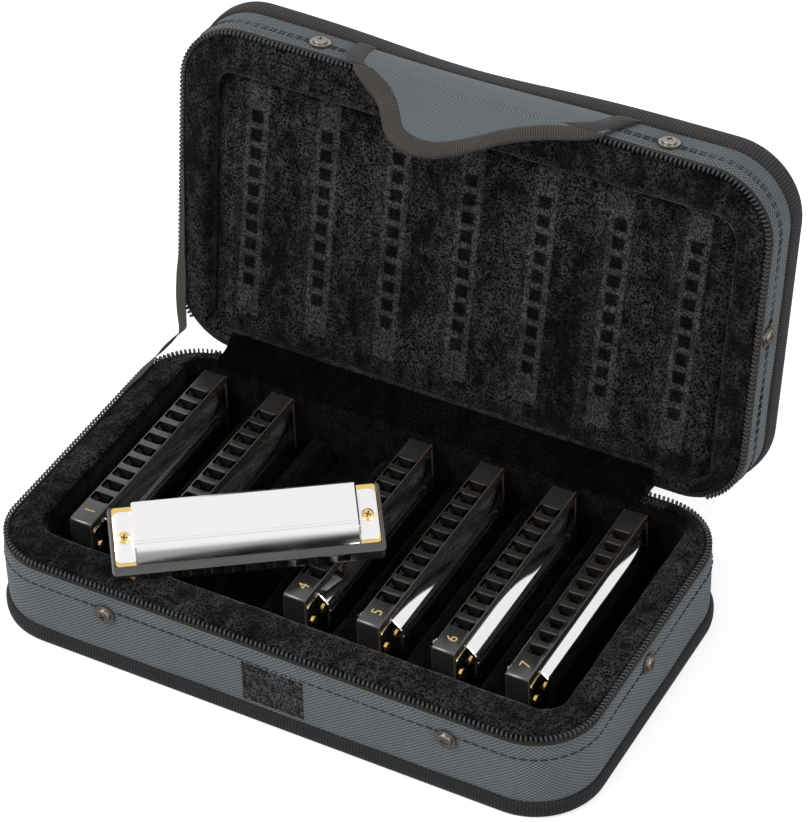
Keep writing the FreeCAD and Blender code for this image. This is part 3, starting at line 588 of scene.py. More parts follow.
def hills(places, scale, *third):
    """Slow uneven values, one for each place; third completes a flat place."""
    return np.array([noise.noise(Vector((*(c * scale for c in p), *third))) for p in places])


def lay_uv(obj, flat_places):
    """Keeps the cloth's length and width of each vertex, in metres, as the UV map 'cloth'."""
    layer = obj.data.uv_layers.new(name="cloth")
    index = np.empty(len(obj.data.loops), int)
    obj.data.loops.foreach_get("vertex_index", index)
    layer.data.foreach_set("uv", (np.asarray(flat_places)[index] * MM).ravel())


print("tools ready")

# %% [markdown]
# ## Strips that run round the wall
# Binding, cloth, zip tape, zip teeth and stitches all follow the same outline. Each is made
# straight, as it comes off the roll: one edge cut into short lengths and extruded through a
# profile. A Curve modifier then leads it round the corners, so ribs, teeth and stitches keep
# their spacing.


# %% The way round the wall
def wall_point(u):
    """A point of the wall's outline, u millimetres to the right of the front middle."""
    side, u = math.copysign(1, u), abs(u)
    cx, cy, arc = HALF_X - CORNER, HALF_Y - CORNER, CORNER * math.pi / 2
    back = u > QUARTER
    if back:
        u = 2 * QUARTER - u
    if u <= cx:
        x, y = u, -HALF_Y
    elif u <= cx + arc:
        angle = (u - cx) / CORNER
        x, y = cx + CORNER * math.sin(angle), -cy - CORNER * math.cos(angle)
    else:
        x, y = HALF_X, -cy + (u - cx - arc)
    return (side * x, -y if back else y)


def strip(name, profile, length, cuts, start=0.0):
    """A straight strip along X through the profile's points (inwards, height)."""
    made = new(name, bpy.ops.mesh.primitive_plane_add, size=1.0)
    edit(made)
    choose(made, lambda p, n: p.y > 0, "VERT")
    bpy.ops.mesh.delete(type="VERT")
    choose_all()
    scaled((length * MM, 1, 1))
    bpy.ops.transform.translate(
        value=(length / 2 * MM, 0.5 + profile[0][0] * MM, profile[0][1] * MM))
    for number in cuts:
        bpy.ops.mesh.subdivide(number_cuts=number)
    for (y0, z0), (y1, z1) in zip(profile, profile[1:]):
        drawn(0, y1 - y0, z1 - z0)
    calm()
    places = points_of(made)
    walked = np.concatenate([[0], np.cumsum(
        [math.dist(a, b) for a, b in zip(profile, profile[1:])])])
    nearest = np.argmin(np.hypot(places[:, 1, None] - np.array(profile)[None, :, 0],
                                 places[:, 2, None] - np.array(profile)[None, :, 1]), axis=1)
    lay_uv(made, np.stack([places[:, 0] + start, walked[nearest]], axis=1))
    return made


def led_along(obj, path):
    finish_with(obj, "CURVE", object=path, deform_axis="POS_X")
    bpy.data.objects.remove(path)
    return obj


def lead_round(obj, start, stop):
    steps = int(stop - start)
    data = bpy.data.curves.new("way_round", "CURVE")
    data.dimensions = "2D"
    line = data.splines.new("POLY")
    line.points.add(steps)
    for number in range(steps + 1):
        x, y = wall_point(start + (stop - start) * number / steps)
        line.points[number].co = (x * MM, y * MM, 0, 1)
    return led_along(obj, add("way_round", data))


def band(half, word, pairs, start=-2 * QUARTER, stop=2 * QUARTER, merge=0.05):
    """A strip round the wall of one half; its profile is given as (inwards, depth)."""
    made = strip(half + word, [(inwards, level(half, depth)) for inwards, depth in pairs],
                 stop - start, (5, 60), start)
    return outward(lead_round(made, start, stop), merge)


print("a band is", round(4 * QUARTER), "mm long")


# %% [markdown]
# ## The two shells
# Each half is a padded cloth wall with a ribbed binding over its outer edge. The wall is soft:
# it bellies out a little between the zip and the binding and is pulled in where the screws
# hold the stiffening.

# %% Screws' places, walls and bindings
SCREWS = {
    "base": ((-67.7, -71.0, 26.0), (74.8, -71.0, 26.0), (-123.5, -6.0, 29.0), (123.5, -6.0, 29.0)),
    "lid": ((-67.4, -71.0, 49.0), (76.8, -71.0, 49.0), (-123.5, -6.0, 47.0), (123.5, -6.0, 47.0)),
}


def place_half(obj, half):
    """Turns a lid piece open; first the long front wall gives way a little in its middle."""
    if half == "lid":
        places = points_of(obj)
        high = np.clip((places[:, 2] - 43.0) / 20.0, 0, 1) ** 1.5
        front = np.clip((-places[:, 1] - 35.0) / 30.0, 0, 1)
        places[:, 1] += 3.4 * np.exp(-((places[:, 0] + 12.0) / 46.0) ** 2) * high * front
        put_points(obj, places)
        obj.data.transform(LID)
        obj.data.update()


def soften_wall(obj, half):
    """Pulls the cloth in at the screws and gives it slow waves."""
    places = points_of(obj)
    side = np.abs(places[:, 0]) / HALF_X > np.abs(places[:, 1]) / HALF_Y
    normal = np.sign(places[:, :2]) * np.stack([side, ~side], 1)
    push = 0.35 * hills(places, 0.045)
    for screw in SCREWS[half]:
        near = np.linalg.norm(places - np.array(screw), axis=1)
        push -= 0.75 * np.exp(-(near / 7.0) ** 2)
    places[:, :2] += normal * push[:, None]
    put_points(obj, places)


for half, depth in HALVES:
    height = depth - 3.8
    wall = band(half, "_wall_cloth", [
        (2.0, 4.6), (0.9, 4.5), (0.35, 5.0), (0.05, 6.2), (-0.12, 8.5),
        (-0.25, 4.4 + (height - 4.4) * 0.38), (-0.3, 4.4 + (height - 4.4) * 0.6),
        (-0.2, depth - 9.0), (0.1, depth - 7.0), (0.4, height), (2.0, height)])
    soften_wall(wall, half)
    place_half(smooth(wall, 60), half)
    dress(wall, wall_cloth, half, half + "_band", slot="twill")
    tall, tape = (9.6, binding_tape) if half == "lid" else (7.2, base_tape)
    edge = band(half, "_binding_tape", [
        (0.3, depth - tall), (-0.35, depth - tall - 0.3), (-0.95, depth - tall),
        (-1.4, depth - tall + 1.0), (-1.75, depth - 5.2), (-1.75, depth - 3.0),
        (-1.45, depth - 1.4), (-0.7, depth - 0.4), (0.6, depth - 0.02), (4.0, depth),
        (8.0, depth), (8.5, depth - 0.5), (7.0, depth - 0.9), (1.0, depth - 0.9)])
    place_half(smooth(edge, 60), half)
    dress(edge, tape, half, half + "_binding", slot="ribbed_tape")
    tell(wall, edge)

# %% [markdown]
# ## The zip
# Below each row of teeth is a ribbed tape whose selvedge shows as a thin pale line above the
# cloth. The teeth are turns of a nylon coil: one turn is a flattened ring, repeated along the
# strip. The zip is open at the back, where the hinge is.

# %% Zip tape, selvedge and coil
ZIP_START, ZIP_STOP = -(2 * QUARTER - ZIP_LEFT), 2 * QUARTER - ZIP_RIGHT
TURN_PITCH, TURN_WIDE, LID_SHORT = 1.85, 1.4, 22.0
for half, _ in HALVES:
    for word, pairs, material, nodes in (
            ("_zip_ribbed_tape", [(1.9, 2.5), (0.75, 2.55), (0.5, 2.8), (0.42, 3.2), (0.5, 4.3),
                                  (0.9, 4.7), (1.9, 4.7)], zip_tape, [half + "_zip_tape"]),
            ("_zip_selvedge", [(0.7, 3.9), (0.3, 4.0), (0.12, 4.25), (0.12, 4.5), (0.3, 4.75),
                               (0.7, 4.85)], selvedge, [])):
        tape = band(half, word, pairs, ZIP_START, ZIP_STOP, 0.01)
        place_half(smooth(tape, 60), half)
        dress(tape, material, half, *nodes, slot="zip_tape")
    coil = new(half + "_zip_coil_turns", bpy.ops.mesh.primitive_torus_add, major_segments=10,
               minor_segments=5, major_radius=0.85 * MM, minor_radius=0.42 * MM,
               rotation=(0, math.pi / 2, 0.2))
    coil.data.transform(at(0.7, 1.3, level(half, 1.47)))
    short = LID_SHORT if half == "lid" else 0.0
    turns = int((ZIP_STOP - ZIP_START - 2 * short - TURN_WIDE) / TURN_PITCH) + 1
    repeated(coil, turns, TURN_PITCH)
    lead_round(coil, ZIP_START + short, ZIP_STOP - short)
    place_half(smooth(coil, 80), half)
    dress(coil, coil_nylon, half, half + "_zip_coil", slot="coil_nylon")
    print(half, "zip:", turns, "turns")

# %% [markdown]
# ## Stitches
# The cloth is sewn to the zip tape with a dark thread about six millimetres from the teeth.
# One stitch is a thin capsule; an Array lays a row of them and the Curve modifier takes the
# row round the corners.

# %% Rows of stitches
STITCH_PITCH, STITCH_LONG, STITCH_THICK, STITCH_OUT = 3.7, 2.4, 0.27, -0.22
for half, depths in (("base", (10.4,)), ("lid", (8.6, 10.2))):
    for number, depth in enumerate(depths, start=1):
        row = new("%s_stitches_%d" % (half, number), bpy.ops.mesh.primitive_cylinder_add,
                  vertices=6, radius=STITCH_THICK * MM, depth=STITCH_LONG * MM,
                  rotation=(0, math.pi / 2, 0))
        edit(row)
        choose(row, lambda p, n: abs(n.x) > 0.9, "FACE")
        bpy.ops.mesh.inset(thickness=STITCH_THICK * 0.55 * MM)
        choose(row, lambda p, n: abs(n.x) > 0.9 and abs(p.y) < STITCH_THICK * 0.3
               and abs(p.z) < STITCH_THICK * 0.3, "FACE")
        scaled((1.18, 1, 1))
        calm()
        row.data.transform(at(STITCH_LONG * 0.6, STITCH_OUT, level(half, depth)))
        start, stop = ZIP_START + 6, ZIP_STOP - 6
        repeated(row, int((stop - start) / STITCH_PITCH), STITCH_PITCH)
        lay_uv(row, points_of(row)[:, :2])
        place_half(smooth(lead_round(row, start, stop), 80), half)
        dress(row, stitch_thread, half)
print("rows of stitches on both halves")

# %% [markdown]
# ## Cloth-covered panels
# The underside of the base and the outside of the lid are stiff boards under the same cloth,
# slightly crowned by their padding. A plane with bevelled corners is the outline; its face is
# inset a few times and the inner rings are lifted.


# %% Outer panels
def rounded_plane(name, half_x, half_y, middle, z, radius):
    made = new(name, bpy.ops.mesh.primitive_plane_add, size=2.0)
    edit(made)
    bpy.ops.transform.resize(value=(half_x * MM, half_y * MM, 1))
    bpy.ops.mesh.bevel(offset=radius * MM, segments=8, affect="VERTICES")
    choose_all()
    moved(0, middle, z)
    return made


SET_IN, CROWN = 5.5, {"base": -0.12, "lid": 0.25}
for half, depth in HALVES:
    panel = rounded_plane(half + "_cloth_panel", HALF_X - SET_IN, HALF_Y - SET_IN, 0,
                          level(half, depth - 0.75), CORNER - SET_IN)
    lift = CROWN[half]
    stepped_face((3.5, lift), (4.0, lift * 0.7), (4.5, lift * 0.7 * 0.7))
    calm()
    thickened(panel, 2.0, -1 if half == "lid" else 1)
    lay_uv(panel, points_of(panel)[:, :2] + 200.0)
    place_half(smooth(outward(panel), 40), half)
    dress(panel, wall_cloth, half, half + "_panel", slot="panel_cloth")
print("outer panels")

# %% [markdown]
# ## Plush rims
# A padded roll of plush fills the space between the zip and the tray opening. Its outside
# follows the wall and its inside follows the tray, so it isn't a plain strip: each loop is
# drawn out of the last one and laid on the next rounded rectangle. The base's inner walls get
# the tray's darker plush as painted shade, for the shadow inside the tray.


# %% A ring drawn loop by loop
def ring(name, loops):
    """Each loop is given as half its size in X and Y, its middle, height and corner."""
    made = rounded_plane(name, *loops[0])
    bpy.ops.mesh.delete(type="ONLY_FACE")
    bpy.ops.mesh.select_mode(type="EDGE")
    choose_all()
    for last, (wide, deep, middle, height, corner) in zip(loops, loops[1:]):
        drawn(0, 0, 0.001)
        mesh = bmesh.from_edit_mesh(made.data)
        for v in mesh.verts:
            if not v.select:
                continue
            x, y = v.co.x / MM, v.co.y / MM - last[2]
            sx, sy = math.copysign(1, x), math.copysign(1, y)
            away = Vector((x - sx * (last[0] - last[4]),
                           y - sy * (last[1] - last[4]))).normalized()
            v.co = Vector((sx * (wide - corner) + away.x * corner,
                           middle + sy * (deep - corner) + away.y * corner, height)) * MM
        bmesh.update_edit_mesh(made.data)
    bpy.ops.mesh.select_all(action="DESELECT")
    bpy.ops.mesh.select_non_manifold()
    bpy.ops.mesh.bridge_edge_loops()
    for axis, number in ((0, 70), (1, 34)):
        choose(made, lambda p, d: abs(d[axis]) > 30 and abs(d[1 - axis]) < 1)
        bpy.ops.mesh.subdivide(number_cuts=number)
    calm()
    return outward(made)


def rim_loops(half, depth):
    bottom = depth - 4.0

    def outer(inset, down):
        return (HALF_X - inset, HALF_Y - inset, 0.0, level(half, down), CORNER - inset)

    def inner(inset, down):
        return (TRAY_X + inset, TRAY_HALF + inset * 0.96, TRAY_MIDDLE - inset * 0.1,
                level(half, down), 9.0 + inset)

    return [outer(2.45, bottom), outer(2.45, 3.2), outer(2.7, 1.9), outer(3.4, 1.25),
            outer(4.4, 1.35), outer(5.3, 1.2), inner(3.6, 0.82), inner(2.4, 0.9),
            inner(1.4, 1.3), inner(0.65, 2.1), inner(0.2, 3.4), inner(0.0, 5.4),
            inner(0.0, (5.4 + bottom) / 2), inner(0.0, bottom)]


def ruffle(obj, amount, scale, lowest=-1.0):
    """Small uneven hills along the normals, as padding has under plush."""
    places = points_of(obj)
    normals = np.empty(len(places) * 3)
    obj.data.vertices.foreach_get("normal", normals)
    push = hills(places, scale) * amount * (places[:, 2] > lowest)
    put_points(obj, places + normals.reshape(-1, 3) * push[:, None])


def squashed_by_lid(obj):
    """Gives the piece its own copy of its mesh."""
    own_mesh(obj)


for half, depth in HALVES:
    rim = ring(half + "_plush_rim", rim_loops(half, depth))
    ruffle(rim, 0.35, 0.09)
    place_half(smooth(rim, 80), half)
    dress(rim, rim_plush, half, half + "_rim_front", half + "_rim_back", half + "_rim_sides",
          slot="plush")
    if half == "lid":
        squashed_by_lid(rim)
    else:
        # The inner walls of the base get the darker tray plush: painted shade where the walls are
        # in shadow.
        rim.data.materials.append(shaded_tray_plush)
        tint(rim, 1, lambda p, n: abs(p.x) < TRAY_X + 0.9
             and abs(p.y - TRAY_MIDDLE) < TRAY_HALF + 0.9 and abs(n.z) < 0.75)
    tell(rim)

# %% [markdown]
# ## Tray floor and ridges
# The seven places are divided by padded ridges. Only their front ends and tops show between
# the harmonicas, but from above they give each place its depth.

# %% Tray
FLOOR_Z, RIDGE_Z, RIDGE_WIDE, RIDGE_TALL = 6.9, 11.4, 10.0, 8.8
# The tray's floor and ridges get the darker plush: painted shade inside the tray.
tray = rounded_plane("tray_plush_floor", TRAY_X - 0.2, TRAY_HALF - 0.2, TRAY_MIDDLE, FLOOR_Z,
                     8.0)
calm()
thickened(tray, 2.9, -1)
smooth(outward(tray))
dress(tray, shaded_tray_plush, "base", "tray_floor", slot="plush")
FIRST, PITCH = -98.2, 31.0
ridges = []
for number in range(6):
    ridge = block("ridge", (FIRST + PITCH * (number + 0.5), TRAY_MIDDLE, RIDGE_Z),
                  (RIDGE_WIDE, TRAY_HALF * 2 - 0.6, RIDGE_TALL))
    edit(ridge)
    choose(ridge, lambda p, d: p.z > 14 and abs(d.x) < 1)
    rounded(4.6, 6)
    choose(ridge, lambda p, d: abs(d.y) > 50)
    bpy.ops.mesh.subdivide(number_cuts=40)
    calm()
    ridges.append(ridge)
dividers = outward(joined("tray_plush_ridges", ridges))
ruffle(dividers, 0.3, 0.11, 9)
smooth(dividers, 60)
dress(dividers, shaded_tray_plush, "base", "tray_dividers", slot="plush")
print("tray with", len(ridges), "ridges")

# %% [markdown]
# ## The lid's soft panel
# The panel is set a few millimetres below the rim and carries the prints of the combs: when
# the case is shut, seven combs stand against it and press ladders into the pile. The lid
# lands a few millimetres off, so the prints stand beside the combs' own places, each with the
# paler ghost of an earlier closing. They are shallow, so the material draws them from the
# panel's own UV map, in colour and in relief; the slow waves of the padding are in the mesh.

# %% Printed plush
PRINT, PRINT_PITCH, PRINT_SLANT, PRINT_MIDDLE, RUNG = -91.9, 30.75, 0.03, 1.2, 8.1
PRINTS_LEFT, RUNGS_BELOW = 8, 20


def ladders(pile, tone, height):
    """Both ways start far outside the panel, so no length to be divided is below zero."""
    along, across = pile.cloth_way()
    along = along + across * PRINT_SLANT

    def ladder(dx, dy, soft):
        def within(limit, distance):
            return (limit * MM - distance).clipped(-soft * MM, soft * MM)

        row = ((along - (PRINT - PRINT_PITCH / 2 + dx - PRINT_PITCH * PRINTS_LEFT) * MM).step(
            "MODULO", PRINT_PITCH * MM) - PRINT_PITCH / 2 * MM).step("ABSOLUTE")
        far = (across - (PRINT_MIDDLE + dy) * MM).step("ABSOLUTE")
        hole = ((across - (PRINT_MIDDLE + dy - RUNG * RUNGS_BELOW) * MM).step(
            "MODULO", RUNG * MM) - RUNG / 2 * MM).step("ABSOLUTE")
        return (within(4.9, row) * within(52.5, far),
                within(2.55, row) * within(2.7, hole) * within(40.5, far))

    comb, square = ladder(0.0, 0.0, 0.6)
    ghost, ghost_square = ladder(-5.2, 3.0, 1.3)
    kept = pile.grain(34.0, 3.0).clipped(0.34, 0.54) * 0.4 + 0.6
    hairs = pile.grain(1150.0, 2.0).clipped(0.38, 0.62) * 0.9 + 0.35
    bars = comb * (1.0 - square)
    tone = (tone * (1.0 - square * 0.75) * (1.0 - ghost_square * 0.3 * (1.0 - comb))
            + (bars * 0.75 + ghost * 0.22 * (1.0 - comb)) * kept * hairs)
    return tone, height - comb * 0.5 - square * 0.7 - ghost * 0.15


printed_plush = plush("lid_panel_plush", (0.0008, 0.0008, 0.0009), (0.041, 0.0415, 0.042), 0.55,
                      0.06, 1.2, ladders)

# %% Soft panel
PAD_X, PAD_HALF, PAD_MIDDLE, PAD_LOW = 108.5, 57.5, 6.15, 44.1
panel, places = grid("lid_plush_panel", 150, 80)
flat = places[:, :2] * [PAD_X * 2, PAD_HALF * 2] + [0, PAD_MIDDLE]
wave = hills(flat * [0.03, 0.022], 1, 3.0)
edge_near = np.minimum(PAD_X - np.abs(flat[:, 0]), PAD_HALF - np.abs(flat[:, 1] - PAD_MIDDLE))
put_points(panel, np.column_stack(
    [flat, PAD_LOW + wave * 0.55 + np.exp(-edge_near / 2.2) * 1.6]))
lay_uv(panel, flat)
thickened(panel, 4.0, 1)
place_half(smooth(outward(panel), 60), "lid")
dress(panel, printed_plush, "lid", "lid_pad", slot="plush")
squashed_by_lid(panel)
tell(panel)

# %% [markdown]
# ## Screws
# Each wall is fixed to its stiffening with four screws, each on a dished washer. The cross is
# cut with a Boolean; the finished screw is copied to every place and turned to face outwards.


# %% One screw, then eight places
def disc(name, vertices, radius, depth, middle, *steps):
    """A short cylinder whose upper face is stepped; it stays in edit mode."""
    made = new(name, bpy.ops.mesh.primitive_cylinder_add, vertices=vertices,
               radius=radius * MM, depth=depth * MM, location=(0, 0, middle * MM))
    edit(made)
    choose(made, lambda p, d: d.z > 0.9, "FACE")
    stepped_face(*steps)
    return made


def cross_cut(head, long, wide, middle, deep):
    for size in ((long, wide), (wide, long)):
        cutter = block("cutter", (0, 0, middle), (*size, deep))
        finish_with(head, "BOOLEAN", object=cutter, operation="DIFFERENCE", solver="EXACT")
        bpy.data.objects.remove(cutter)


washer = disc("washer", 40, 4.1, 0.7, 0.35, (0.5, 0.12), (1.0, -0.2))
head = disc("head", 40, 2.9, 1.1, 1.05, (0.5, 0.24), (0.7, 0.14), (0.8, 0.05))
choose(head, lambda p, d: abs(d.z) < 0.01 and abs(p.z - 1.6) < 0.02)
rounded(0.15, 2)
calm()
cross_cut(head, 3.0, 0.62, 1.9, 1.3)
screw = outward(joined("screw", [washer, head]))
for half, _ in HALVES:
    copies = []
    for number, (x, y, z) in enumerate(SCREWS[half]):
        front = y < 10 - HALF_Y
        facing = spin(math.copysign(math.pi / 2, 1 if front else x), "X" if front else "Y")
        copies.append(copy_of(screw, "copy",
                              at(x, y, z) @ facing @ spin(0.4 + 0.9 * number, "Z")))
    screws = joined(half + "_wall_screws", copies)
    place_half(smooth(screws, 35), half)
    dress(screws, nickel, half, half + "_screws", slot="nickel")
bpy.data.objects.remove(screw)
print("eight screws")

# %% [markdown]
# ## Loop patch
# The flap closes on a patch of fuzzy loops sewn on the front wall. It is a fine grid whose
# points stand out unevenly and fall away at the edges, with a groove where it is sewn.

# %% Loop patch
PATCH_WIDE, PATCH_TALL, PATCH_Y, PATCH_Z = 26.0, 18.5, -71.15, 18.45
patch, places = grid("front_loop_patch", 90, 64)
flat = places[:, :2] * [PATCH_WIDE, PATCH_TALL]
inside = np.minimum(PATCH_WIDE / 2 - np.abs(flat[:, 0]), PATCH_TALL / 2 - np.abs(flat[:, 1]))
stand = 0.95 * (1 - np.exp(-inside / 0.8)) + hills(flat, 1.3, 7.0) * 0.22 * (inside > 0.4)
stand -= 0.42 * np.exp(-((inside - 1.7) / 0.38) ** 2)
shift = hills(flat, 0.7, 1.0) * (inside < 0.5) * 0.3
put_points(patch, np.column_stack([flat[:, 0] + FLAP_X + shift, PATCH_Y - stand,
                                   flat[:, 1] + PATCH_Z + shift]))
thickened(patch, 0.4, -1)
smooth(outward(patch, 0.001), 60)
dress(patch, loop_pile, "base", "loop_patch", slot="loop_nylon")
tell(patch)

# %% [markdown]
# ## The flap
# A tongue of the same cloth hangs from the lid's front edge. Its outline runs in from wide
# shoulders to a rounded tip. The cloth is a grid drawn in row by row to that outline; the
# binding is a strip led along the edge by a curve, as the wall's binding is.

# %% Outline of the flap
EDGE = ((-54.4, 18.8), (-53.6, 12.0), (-52.6, 5.2), (-50.4, -0.8), (-45.6, -5.2), (-39.0, -9.4),
        (-33.4, -14.0), (-29.0, -19.6), (-24.8, -25.2), (-19.0, -28.9), (-11.0, -30.7),
        (-3.0, -30.0), (5.0, -26.9), (12.5, -22.4), (19.5, -17.0), (26.5, -12.0), (34.5, -7.9),
        (43.0, -4.6), (49.6, -1.0), (54.4, 4.4), (58.0, 11.0), (61.2, 18.8))
HEM = [(-0.5, 0.7), (0.0, 1.25), (1.0, 1.6), (3.2, 1.65), (5.6, 1.3), (6.5, 0.8), (6.5, -0.7),
       (5.6, -0.8), (3.2, -0.9), (1.0, -0.9), (0.0, -0.8), (-0.5, -0.5), (-0.5, 0.7)]
TONGUE_LONG, ROOT_Y = 28.4, -71.9


def bowed(x, z, out):
    """The flap's soft shape: it bows out in the middle and its right half curls up."""
    deep = min(1.0, max(0.0, -z / 30.0))
    curl = 5.0 * min(1.0, max(0.0, (x + 8.0) / 26.0)) ** 1.4 * deep ** 1.2
    return -out - 1.3 * math.sin(deep * math.pi * 0.55) * (1 - (x / 60.0) ** 2) - curl


def pinched(up):
    """How thick the tape is near the fold, where it's sewn flat."""
    return 0.55 + 0.45 * min(1.0, abs(up) / 3.0)


def tucked(up):
    """How thick the tape still is where it goes under the lid's binding."""
    return min(1.0, max(0.1, (57.6 - up) / 3.6))


def edge_path(name):
    data = bpy.data.curves.new(name, "CURVE")
    data.dimensions = "2D"
    data.resolution_u = 8
    line = data.splines.new("BEZIER")
    line.bezier_points.add(len(EDGE) - 1)
    for point, (x, y) in zip(line.bezier_points, EDGE):
        point.co = (x * MM, y * MM, 0)
        point.handle_left_type = point.handle_right_type = "AUTO"
    return add(name, data)


def hem_along(name, cut, kept, lay):
    """A rolled tape led along the edge and cut at a height; only the part above (kept 1) or
    below (kept -1) stays, and lay gives each point (x, up, out) its place."""
    path = edge_path(name + "_path")
    mesh = bpy.data.meshes.new_from_object(path)
    outline = np.array([v.co for v in mesh.vertices])[:, :2] / MM
    bpy.data.meshes.remove(mesh)
    length = float(np.sum(np.hypot(*np.diff(outline, axis=0).T)))
    made = led_along(strip(name, HEM, length, (5, 20)), path)
    edit(made)
    choose_all()
    bpy.ops.mesh.bisect(plane_co=(0, cut * MM, 0), plane_no=(0, kept, 0), clear_inner=True,
                        use_fill=True)
    calm()
    put_points(made, [lay(*p) for p in points_of(made)])
    return smooth(outward(made, 0.02), 60), outline


hem, outline = hem_along("flap_binding_tape", 0.15, -1,
                         lambda x, up, out: (x, bowed(x, up, 0.45) - out * pinched(up), up))
hem.data.transform(FLAP)
dress(hem, flap_tape, "flap", "flap_binding", slot="ribbed_tape")
lowest = int(np.argmin(outline[:, 1]))
left, right = outline[:lowest + 1], outline[lowest:]

tongue, places = grid("flap_cloth", 60, 40)
z = -TONGUE_LONG * np.sin((0.5 - places[:, 1]) * math.pi / 2)
ends = [(np.interp(-v, -left[:, 1], left[:, 0]) + 3.0,
         np.interp(v, right[:, 1], right[:, 0]) - 3.0) for v in z]
x = np.array([a + (b - a) * (t + 0.5) for t, (a, b) in zip(places[:, 0], ends)])
put_points(tongue, np.column_stack([x, [bowed(a, b, 0.45) for a, b in zip(x, z)], z]))
lay_uv(tongue, np.column_stack([x + 300, z + 100]))
thickened(tongue, 1.1)
smooth(outward(tongue), 60)
tongue.data.transform(FLAP)
dress(tongue, flap_cloth, "flap", "flap_panel", slot="twill")

side, _ = hem_along("flap_root_binding", 0.05, 1, lambda x, up, out: (
    x, ROOT_Y - (0.65 + out * 0.85) * tucked(up + FLAP_Z) * pinched(up), up + FLAP_Z))
place_half(side, "lid")
dress(side, flap_tape, "lid", slot="ribbed_tape")
print("flap outline", len(outline), "points")

# %% Root, fold and hook patch
FOLD, TURNED_OVER, SPREAD = 39.9, 1.6, 0.006
for name, half, profile, node in (
        ("flap_root_cloth", 50.5, [(-71.6, 55.5), (-72.3, 54.0), (-72.4, 48.0), (-72.4, 42.0),
                                   (-72.3, FOLD)], "flap_root"),
        ("flap_fold_cloth", 45.5, [(-72.3, FOLD), (-72.35, 38.5), (-72.3, 37.0), (-72.0, 35.1)],
         "flap_fold")):
    folds = node == "flap_fold"
    root = strip(name, profile, half * 2, (40,), 300 - half)
    places = points_of(root)
    places[:, 0] = half + (places[:, 0] - half) * (1 + SPREAD * (places[:, 2] - FOLD))
    if folds:
        run, rise = (places[:, 1:] - [FLAP_Y, FLAP_Z]).T
        turned = np.clip((FOLD - places[:, 2]) / TURNED_OVER, 0, 1) * DROOP
        places[:, 1] = FLAP_Y + run * np.cos(turned) - rise * np.sin(turned)
        places[:, 2] = FLAP_Z + run * np.sin(turned) + rise * np.cos(turned)
    places[:, 0] += FLAP_X - half
    put_points(root, places)
    thickened(root, 1.0)
    place_half(smooth(outward(root), 60), "lid")
    dress(root, flap_cloth, None if folds else "lid", node, slot="twill")
    if folds:
        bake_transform(root)
HOOK_WIDE, HOOK_TALL, HOOK_X, HOOK_Z = 22.0, 12.4, -3.0, -18.6
hook, places = grid("flap_hook_patch", 44, 26)
flat = places[:, :2] * [HOOK_WIDE, HOOK_TALL] + [HOOK_X, HOOK_Z]
inside = np.minimum(HOOK_WIDE / 2 - np.abs(flat[:, 0] - HOOK_X),
                    HOOK_TALL / 2 - np.abs(flat[:, 1] - HOOK_Z))
stand = [bowed(a, b, -0.25) + 0.5 * (1 - math.exp(-d / 0.5)) * (0.8 + 0.2 * math.sin(
    a * 9) * math.sin(b * 9)) for (a, b), d in zip(flat, inside)]
put_points(hook, np.column_stack([flat[:, 0], stand, flat[:, 1]]))
thickened(hook, 0.3, -1)
smooth(outward(hook, 0.001), 60)
hook.data.transform(FLAP)
dress(hook, loop_pile, "flap", "hook_patch", slot="loop_nylon")
print("flap root, fold and hook patch")

# %% [markdown]
# ## Cloth of the hinge and the stay strap
# Two cloths join the halves at the back: a plush strip inside and a plain tape outside. Both
# bend when the lid turns; here they are strips in their open shape, on neither body. The stay
# strap is webbing sewn inside the zip at the left; it is slack and folds at the corner.


# %% Hinge cloths
def across_hinge(name, profile, material, thick, node, slot):
    made = strip(name, profile, ZIP_LEFT + ZIP_RIGHT, (60,), 0)
    places = points_of(made)
    places[:, 0] -= ZIP_LEFT
    places[:, 2] += 0.25 * hills(places, 0.06)
    put_points(made, places)
    thickened(made, thick)
    return dress(smooth(outward(made), 60), material, None, node, slot=slot)


# The inner strip's plush is darker than the rim's: painted shade under the open lid.
inner = across_hinge("hinge_plush_strip", [
    (63.7, 36.6), (64.3, 38.3), (66.2, 39.0), (68.6, 39.5), (70.8, 40.1), (72.6, 41.1),
    (73.7, 42.4), (74.5, 43.4), (76.3, 44.0)], hinge_plush, 1.1, "hinge_plush", "plush")
outer = across_hinge("hinge_outer_tape", [
    (71.4, 26.5), (71.6, 28.0), (71.7, 32.0), (71.75, 34.0), (72.3, 35.1), (73.6, 35.6),
    (76.0, 35.3), (79.0, 34.85), (81.7, 34.5)], binding_tape, 0.6, "hinge_cloth", "hinge_tape")
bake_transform(inner)
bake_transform(outer)

# %% [markdown]
# The strap's way is given by stations. Those in the lid have a place in the closed lid (X,
# height, Y) and half a width; those below it have a place and half the width as a direction.

# %% Stay strap
IN_LID = ((-120.9, 39.32, -10.0, 0.3), (-120.9, 39.25, 5.0, 0.9), (-120.9, 39.2, 20.0, 1.3),
          (-121.0, 39.15, 32.0, 1.7), (-121.1, 39.05, 42.0, 2.7), (-121.1, 39.0, 52.0, 2.85),
          (-120.6, 38.9, 60.0, 2.7), (-119.9, 38.8, 65.6, 2.3))
BELOW = ((-119.9, 72.6, 39.6, 1.5, 0.3, 1.4), (-120.7, 67.0, 39.1, 0.5, 0.2, 1.6),
         (-121.2, 60.0, 38.95, 0.3, 0.1, 1.5), (-121.4, 53.5, 38.9, 0.9, 0.1, 0.9),
         (-121.1, 47.0, 38.95, 1.7, 0.1, 0.3), (-121.0, 40.0, 38.95, 1.4, 0.0, 0.1),
         (-121.6, 34.0, 38.9, 0.8, 0.0, 0.0), (-122.0, 29.0, 38.8, 0.4, 0.0, 0.0))
way = np.array([(x, *opened(y, z), wide, 0.0, 0.0) for x, z, y, wide in IN_LID] + list(BELOW))
